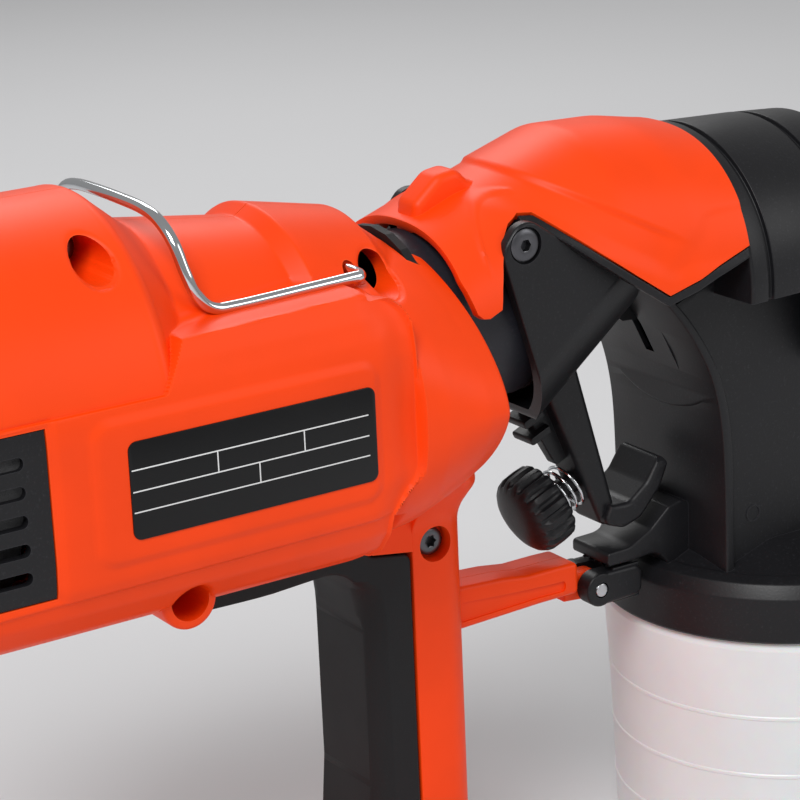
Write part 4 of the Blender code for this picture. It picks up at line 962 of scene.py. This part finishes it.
def buildBody():
    body = "gun"
    outline = [(-118, 156.6), (-99.5, 156.6), (-64, 180.6), (-43, 180.6), (-43, 230), (-118, 230)]
    half, wallHalf, panelHalf = gun["half"], gun["wallHalf"], gun["panelHalf"]
    core = slab("gun_body_core", outline, "y", -half, half)
    keep(core, channel("rampRange", half + 0.2, 21.2, 0, gun["ramp"], gun["rampTilt"]))
    keep(core, channel("collarRange", half + 0.1, 24.1, 0, gun["collar"], 0))
    cut(core, lathe("collarRing", [(0, 24.15), (0, 70), (19.5, 70), (19.5, 24.15)], onAxis(-119), alongX, 96))
    join(core, rod("pivotBoss", 6.5, (pivot[0], -half, pivot[1]), alongY, 2 * half, steps=48))
    keep(core, headSolid("underShell", 3.2, np.linspace(-131, -41.5, 60)))
    made = [core]
    lip = [(x, z) for x, z in gun["edge"] if x > -107]
    made += skinStrip("lip", lip, (0.35, 3), 0.35, 3.4, 5)
    nose = [(-44, 8, 0), (-44, 40, 1), (-38.2, 39.6, 0.3), (-38, 38.2, 0.3), (-36, 38, 0.3),
            (-35.8, 39.3, 0.3), (-12, 38.2, 0.3), (-11.8, 36.9, 0.3), (-9.8, 36.8, 0.3), (-9.6, 38, 0.3),
            (4, 37, 3), (13.6, 29.4, 1), (14, 26.5, 0), (22, 26.5, 0.4), (22, 23.5, 0.4),
            (8, 23.5, 0), (-2, 33.5, 0), (-41, 36.5, 0), (-41, 8, 0)]
    nose = turned("nose", nose, 4, onAxis(0), alongX, 128)
    cut(nose, block("besideLeft", (-60, -9.4), (-60, -23.4), (100, 178)),
        block("besideRight", (-60, -9.4), (23.4, 60), (100, 178)))
    made.append(nose)
    made.append(rod("fluidTube", 8.5, onAxis(-40.3), alongX, 56))
    line = curvePath([(x, 0, z) for x, z in gun["wallLine"]], 6)
    front = [(p.x, p.z) for p in line]
    wall = front + [(x + 3, z) for x, z in front[::-1]]
    rear = slab("rearWall", wall, "y", -wallHalf, wallHalf, 0.7, 3)
    made.append(rear)
    side = [(x + 2, z) for x, z in front[3:]] + [(-9, 94), (-9, 179), (-44, 182)]
    panels = slab("sidePanels", side, "y", -panelHalf, panelHalf, 0.5, 2)
    room = [(x + 5, z) for x, z in front[3:]] + [(-12, 94), (-12, 172), (-44, 176)]
    cut(panels, slab("panelRoom", [(x, max(z, 99)) for x, z in room if z > 94 or x > -30], "y", -21, 21))
    for y in (-panelHalf, panelHalf):
        ring = [(0, 2.1), (0, 2.5), (0.25, 2.5), (0.25, 2.1)]
        join(panels, lathe("ejectorRing", ring, (-30.5, y, 111.6), (0, 1 if y > 0 else -1, 0), 40))
    made.append(panels)
    made.append(rod("column", 15, (0, 0, 94), alongZ, 52, 1, 64))
    made.append(rod("riser", 8, (0, 0, 144), alongZ, 34))
    plateau = [(0, 0, 0), (0, 51, 0), (2.6, 47.6, 2.5), (8.2, 34, 3), (8.2, 0, 0)]
    made.append(turned("plateau", plateau, 5, (0, 0, 94.4), alongZ, 96))
    lid = [(0, 0, 0), (0, 48.5, 1.5), (-1.6, 51.8, 1.5), (-5.5, 53.9, 2), (-17.8, 53.9, 0.6),
           (-18.5, 53.4, 0.3), (-18.5, 51, 0.2), (-6, 51, 0), (-6, 0, 0)]
    made.append(turned("lid", lid, 4, (0, 0, 97), alongZ, 128))
    pocket = [(-61.5, 181.5), (-54, 170), (-47.5, 157), (-44, 150), (-36, 150), (-36, 193), (-61.5, 193)]
    made.append(slab("pocketBlock", pocket, "y", -10.5, 10.5))
    tongue = roundedPath([(-70, 100.6, 1), (-70, 104.4, 1.2), (-62, 104.6, 6), (-54.6, 108.2, 4),
                          (-48.4, 113.4, 1.5), (-44, 114.4, 1.5), (-38, 112, 0), (-38, 92, 0),
                          (-46, 92, 3), (-52, 101.2, 6), (-60, 100.4, 4)], 5)
    made.append(slab("tongue", tongue, "y", -8.5, 8.5, 0.7, 3))
    whole = made[0]
    whole.name = "gun_body_skin"
    join(whole, *made[1:])
    pocket = [(-56, 189.5), (-56, 176.2), (-51.5, 167.5), (-46.2, 157.5), (-38, 157.5), (-38, 189.5)]
    duct = [(-99, 161), (-95, 162.5), (-67, 183), (-64, 195), (-39, 195), (-39, 205), (-99, 203)]
    duct = slab("duct", duct, "y", -19, 19)
    keep(duct, channel("ductRamp", half - 3, 18, 3, gun["ramp"], gun["rampTilt"]))
    keep(duct, channel("ductCollar", half - 3.1, 21, 3, gun["collar"], 0))
    cut(whole, rod("airBore", 22, onAxis(-119), alongX, 21, steps=64), duct,
        slab("pocket", pocket, "y", -7.5, 7.5),
        block("fingerSlot", (-58, -43), (-1.9, 1.9), (157.2, 173.2)),
        rod("needleGuide", 2, onAxis(-60), alongX, 5, steps=24),
        rod("fluidBore", 4.2, onAxis(-41), alongX, 60, steps=32),
        rod("riserBore", 3.8, (0, 0, 120), alongZ, 61, steps=24),
        rod("pickupSocket", 5.3, (0, 0, 80), alongZ, 40.5, steps=32))
    for side in (-1, 1):
        cut(whole, rod("pivotHole", 2.8, (pivot[0], side * 30, pivot[1]), (0, -side, 0), 14, steps=24))
    place(whole, body, ["gun_body"], "black_plastic", sharp=35)
    print("gun body", len(whole.data.polygons))
    wall = [(0, 22, 0), (0, 24.6, 0.5), (40.5, 24.6, 0.2), (40.5, 24.3, 0), (23.7, 24.3, 0), (23.7, 22, 0)]
    place(turned("air_tube_skin", wall, 3, onAxis(-142), alongX, 128), body, ["air_tube"], "slate_plastic")


# trigger: a bridge of two cheeks with a rolled lower edge, and an arm that ends in the finger hook
lever = {"outer": 28.4, "inner": 25.4, "low": ((-102.5, 152.2), (-93.8, 152.2), (-65.8, 174.4)),
         "tilt": radians(38.41), "roll": 24.2, "armHalf": 7, "hookHalf": 9.5}
knob = {"x": -92.8, "z": 117.8, "tilt": radians(22.8), "radius": 11.8, "length": 9.8, "flutes": 18,
        "depth": 0.95, "toArm": 18.6, "stem": 3, "coils": 3, "coilRadius": 6.4, "wire": 0.5}


def knobPoint(distance, across=0):
    along = Vector((cos(knob["tilt"]), 0, sin(knob["tilt"])))
    down = Vector((sin(knob["tilt"]), 0, -cos(knob["tilt"])))
    return Vector((knob["x"], 0, knob["z"])) + along * distance + down * across


def armPoint(across, distance=0):
    p = knobPoint(knob["toArm"] + distance, across)
    return p.x, p.z


def buildTrigger():
    px, pz = pivot
    outer, inner = lever["outer"], lever["inner"]
    low = lever["low"]
    outline = roundedPath([(px - 7.4, 202.5, 6.5), (px - 0.5, 211.6, 7.5), (-69, 183.3, 4), (*low[2], 3),
                           (*low[1], 3), (low[0][0] + 1.6, low[0][1], 3)], 7)
    made = slab("trigger_skin", outline, "y", -outer, outer, 0.9, 3)
    keep(made, channel("roll", outer + 0.2, lever["roll"], 0, low[1], lever["tilt"]))
    room = channel("triggerRoom", inner, 21, 3.2, low[1], lever["tilt"])
    cut(made, keep(room, block("aboveFloor", (-140, -40), (-60, 60), (155.4, 240))))
    top = armPoint(-34)
    bottom = armPoint(14)
    arm = roundedPath([(*top, 3), (*bottom, 3), (-64.2, 111.8, 4), (-78.6, 163.6, 3)], 6)
    join(made, slab("arm", arm, "y", -lever["armHalf"], lever["armHalf"], 3.2, 6))
    finger = roundedPath([(-71.6, 113.5, 2), (-64.5, 110.9, 4), (-58.5, 112.8, 5), (-51.5, 120.4, 4),
                          (-48.6, 127, 1.6), (-51.5, 129.8, 1.6), (-56.5, 122.6, 5), (-62.5, 118.2, 4),
                          (-69, 118.5, 0)], 7)
    finger = slab("hook", finger, "y", -lever["hookHalf"], lever["hookHalf"], 2.6, 6)
    tip = roundedPath([(-9.8, 100, 0), (9.8, 100, 0), (9.8, 130.4, 6), (-9.8, 130.4, 6)], 8)
    join(made, keep(finger, slab("tipRange", tip, "x", -80, -40)))
    rib = roundedPath([(*armPoint(-37, -7.4), 1), (*armPoint(-8.5, -3.6), 1), (*armPoint(-8.5, 1), 0),
                       (*armPoint(-37, 1), 0)], 3)
    join(made, slab("backRib", rib, "y", -2.2, 2.2, 0.6, 2))
    for across in (-33, -27.5, -22):
        clip = roundedPath([(*armPoint(across, -9.2), 0.8), (*armPoint(across + 2.4, -9), 0.8),
                            (*armPoint(across + 2.4, -2), 0), (*armPoint(across, -2), 0)], 3)
        join(made, slab("clip", clip, "y", -4.6, 4.6, 0.6, 2))
    reach = [(-69, 175.8), (-66.5, 173.9), (-58, 168), (-41.3, 166.8), (-41.3, 171.6), (-58.6, 171.8),
             (-66, 176.2)]
    join(made, slab("finger", reach, "y", -1.3, 1.3),
         block("fork", (-43.2, -41.3), (-4.4, 4.4), (170.4, 173.4)))
    for side in (-1, 1):
        join(made, block("tine", (-43.2, -41.3), sorted((side * 2.2, side * 4.4)), (171, 186)))
    along = knobPoint(1) - knobPoint(0)
    cut(made, rod("pivotHole", 2.8, (px, -40, pz), alongY, 80, steps=32),
        rod("stemHole", knob["stem"] + 0.3, knobPoint(10), along, 30, steps=32))
    for side in (-1, 1):
        bore = lathe("counterbore", [(0, 0), (0, 6), (9.9, 6), (11.2, 4.9), (13.1, 4.9), (13.1, 0)],
                     (px, side * 40, pz), (0, -side, 0), 48)
        cut(made, bore)
    place(made, "trigger_lever", ["trigger"], "black_plastic", sharp=35, weighted=True)
    print("trigger", len(made.data.polygons))
    for name, side in (("pivot_screw_right", -1), ("pivot_screw_left", 1)):
        profile = [(0.7, 0), (0, 1.9), (0, 3.6), (0.5, 4.3), (1.2, 4.4), (1.2, 2.5), (9, 2.5), (10, 0)]
        screw = lathe(name + "_skin", profile, (px, side * 28.4, pz), (0, -side, 0), 40)
        hexagon = [(px + 1.7 * cos(pi * i / 3), pz + 1.7 * sin(pi * i / 3)) for i in range(6)]
        cut(screw, slab("socket", hexagon, "y", *sorted((side * 26.2, side * 31))))
        place(screw, "trigger_lever", [name], "screw_steel")


def buildKnob():
    along = knobPoint(1) - knobPoint(0)
    side, up = Vector(alongY), along.cross(Vector(alongY))
    levels = [(-2.6, 2), (-2.45, 4.5), (-2, 7), (-1.2, 9), (-0.2, 10.4), (1, 11.3), (2.2, 11.7),
              (6, knob["radius"]), (9, 11.6), (9.8, 10.9)]
    steps = knob["flutes"] * 10
    loops = []
    for distance, radius in levels:
        ring = []
        for i in range(steps):
            phase = (i % 10) / 10
            groove = float(ease(abs(phase - 0.5), 0.13, 0.27)) if distance > 0.2 else 1
            r = radius - knob["depth"] * (1 - groove)
            angle = 2 * pi * i / steps
            ring.append(knobPoint(distance) + (side * cos(angle) + up * sin(angle)) * r)
        loops.append(ring)
    made = bridged("flow_knob_skin", loops)
    join(made, rod("stem", knob["stem"], knobPoint(knob["length"] - 1), along,
                   knob["toArm"] + 7 - knob["length"], steps=32))
    place(made, "knob", ["flow_knob"], "black_plastic", sharp=45)
    start, end = knob["length"] + 0.3, knob["toArm"] - 0.3
    points = []
    count = 36 * knob["coils"]
    for i in range(count + 1):
        angle = 2 * pi * knob["coils"] * i / count
        centre = knobPoint(start + 0.6 + (end - start - 1.2) * i / count)
        points.append(centre + (side * cos(angle) + up * sin(angle)) * knob["coilRadius"])
    out = side * knob["coilRadius"]
    points = [knobPoint(start) + out] + points + [knobPoint(end) + out]
    spring = wireCurve("flow_spring_skin", points, knob["wire"], 4)
    place(spring, "trigger_lever", ["flow_spring"], "chrome_wire")


def buildNozzle():
    tip = [(9, 2.3, 0), (9, 3.9, 0), (16.3, 3.9, 0), (16.3, 8.2, 0.4), (21, 8.2, 0.4), (23, 6, 0.4),
           (31, 3.6, 1), (35.5, 2.6, 0.3), (35.5, 1.25, 0), (33.2, 1.25, 0), (29, 2.3, 0)]
    place(turned("nozzle_skin", tip, 3, onAxis(0), alongX), "gun", ["fluid_nozzle"], "bright_steel")
    cap = [(22.3, 17.5, 0), (22.3, 26.2, 0.5), (27.7, 26.2, 0.5), (27.7, 20.4, 0.3), (33.5, 18.8, 1.5),
           (33.5, 3.3, 0.3), (31, 4.4, 0), (28.5, 17.5, 0)]
    made = turned("air_cap_skin", cap, 4, onAxis(0), alongX, 96)
    for side in (-1, 1):
        horn = roundedPath([(32.5, side * 9.5, 0), (32.5, side * 18.2, 0), (41, side * 17.4, 4),
                            (45, side * 14.5, 1), (45, side * 13, 1)], 4)
        join(made, slab("horn", horn, "z", 176.5, 185.5, 1.2, 3))
    for angle in range(0, 360, 60):
        y, z = 11 * cos(radians(angle + 30)), 11 * sin(radians(angle + 30))
        cut(made, rod("airHole", 1.1, (29, y, axisHeight + z), alongX, 8, steps=20))
    place(made, "cap", ["air_cap"], "black_plastic", sharp=35)
    ring = [(14.4, 27, 0), (14.4, 31.5, 0.5), (16, 33, 1), (27, 32.4, 1.5), (31, 30, 1.2),
            (31, 21.2, 0.4), (28.1, 21.2, 0), (28.1, 27, 0)]
    made = turned("ring_nut_skin", ring, 4, onAxis(0), alongX, 120)
    for i in range(24):
        angle = 2 * pi * (i + 0.5) / 24
        y, z = 34 * cos(angle), 34 * sin(angle)
        cut(made, rod("gripFlute", 1.9, (13, y, axisHeight + z), alongX, 15, steps=16))
    place(made, "nut", ["ring_nut"], "black_plastic", sharp=35)


def buildCup():
    profile = [(0, 0, 0), (0, 46.5, 2), (3, 49.5, 3)]
    for z, r in ((18, 49.9), (36, 50.5), (54, 51.2)):  # level rings
        profile += [(z, r, 0), (z + 0.3, r + 0.3, 0), (z + 1.1, r + 0.3, 0), (z + 1.4, r + 0.05, 0)]
    profile += [(75.7, 52.7, 1), (78.2, 51.6, 0.4), (78.2, 50.3, 0), (88.1, 50.3, 0.3), (88.1, 48.7, 0.3),
                (73.2, 48.7, 2), (4, 47.9, 3), (2, 45.5, 1), (2, 0, 0)]
    cup = turned("cup_skin", profile, 4, (0, 0, 0), alongZ, 128)
    place(cup, "paint_cup", ["cup"], "cup_white", sharp=30)


# nodes shown in the shape the frame gives them
keptNodes = {
    "laminated_iron": ("motor_stator", "armature"), "copper_winding": ("field_coils", "commutator"),
    "black_rubber": ("motor_mount_rear", "motor_mount_front", "coupling_seal"),
    "black_plastic": ("motor_end_frame",),
    "brass": ("brush_holder_right", "brush_holder_left", "packing_nut"), "filter_foam": ("air_filter",),
    "bright_steel": ("motor_shaft", "bearing_front", "bearing_rear", "turbine_casing_front",
                     "turbine_casing_rear", "impeller", "needle", "needle_spring"),
    "white_plastic": ("cup_gasket", "pickup_tube"),
}


def dressKeptNodes():
    for finish, names in keptNodes.items():
        for name in names:
            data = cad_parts[name].data
            data.materials.clear()
            data.materials.append(finishes[finish])


bpy.context.scene.view_settings.view_transform = "Standard"
addCamera()
for stage in (buildHousing, unitPieces, buildCover, buildHook, buildLatch, buildShell, buildBody,
              buildTrigger, buildKnob, buildNozzle, buildCup, dressKeptNodes):
    stage()
    print("stage done:", stage.__name__)


# floor and lamps
def addStage():
    bm = bmesh.new()
    bmesh.ops.create_grid(bm, x_segments=1, y_segments=1, size=4)
    floor = toObject(bm, "floor")
    paint = bpy.data.materials.new("floor paint")
    paint.use_nodes = True
    shader = paint.node_tree.nodes["Principled BSDF"]
    start = Wire(paint.node_tree)
    spot = start.node("ShaderNodeTexCoord", out="Object")
    cloud = start.node("ShaderNodeTexNoise", {}, {"Vector": spot, "Scale": 3, "Detail": 2})
    tone = mixColours(cloud.fade(0.3, 0.7), rgba(view["floorColour"], 0.985), rgba(view["floorColour"]))
    paint.node_tree.links.new(tone.socket, shader.inputs["Base Color"])
    shader.inputs["Roughness"].default_value = 0.7
    floor.data.materials.append(paint)
    world = bpy.data.worlds.new("studio")
    world.use_nodes = True
    tree = world.node_tree
    tree.nodes["Background"].inputs["Strength"].default_value = view["fill"]
    tree.nodes["Background"].inputs["Color"].default_value = rgba((1, 1, 1))
    sky = tree.nodes.new("ShaderNodeBackground")
    sky.inputs["Color"].default_value = rgba(view["skyColour"])
    start = Wire(tree)
    seen = start.node("ShaderNodeLightPath", out="Is Camera Ray")
    mix = tree.nodes.new("ShaderNodeMixShader")
    tree.links.new(seen.socket, mix.inputs["Fac"])
    tree.links.new(tree.nodes["Background"].outputs[0], mix.inputs[1])
    tree.links.new(sky.outputs[0], mix.inputs[2])
    tree.links.new(mix.outputs[0], tree.nodes["World Output"].inputs["Surface"])
    bpy.context.scene.world = world
    target = (-0.13, 0, 0.16)
    addLamp("key", (-1.1, -0.9, 1.5), target, (0.8, 0.8), 25)
    addLamp("front", (0.9, -1.2, 0.9), target, (0.8, 0.8), 5)
    addLamp("rim", (0.4, 1.2, 1.2), target, (0.9, 0.6), 7)


addStage()
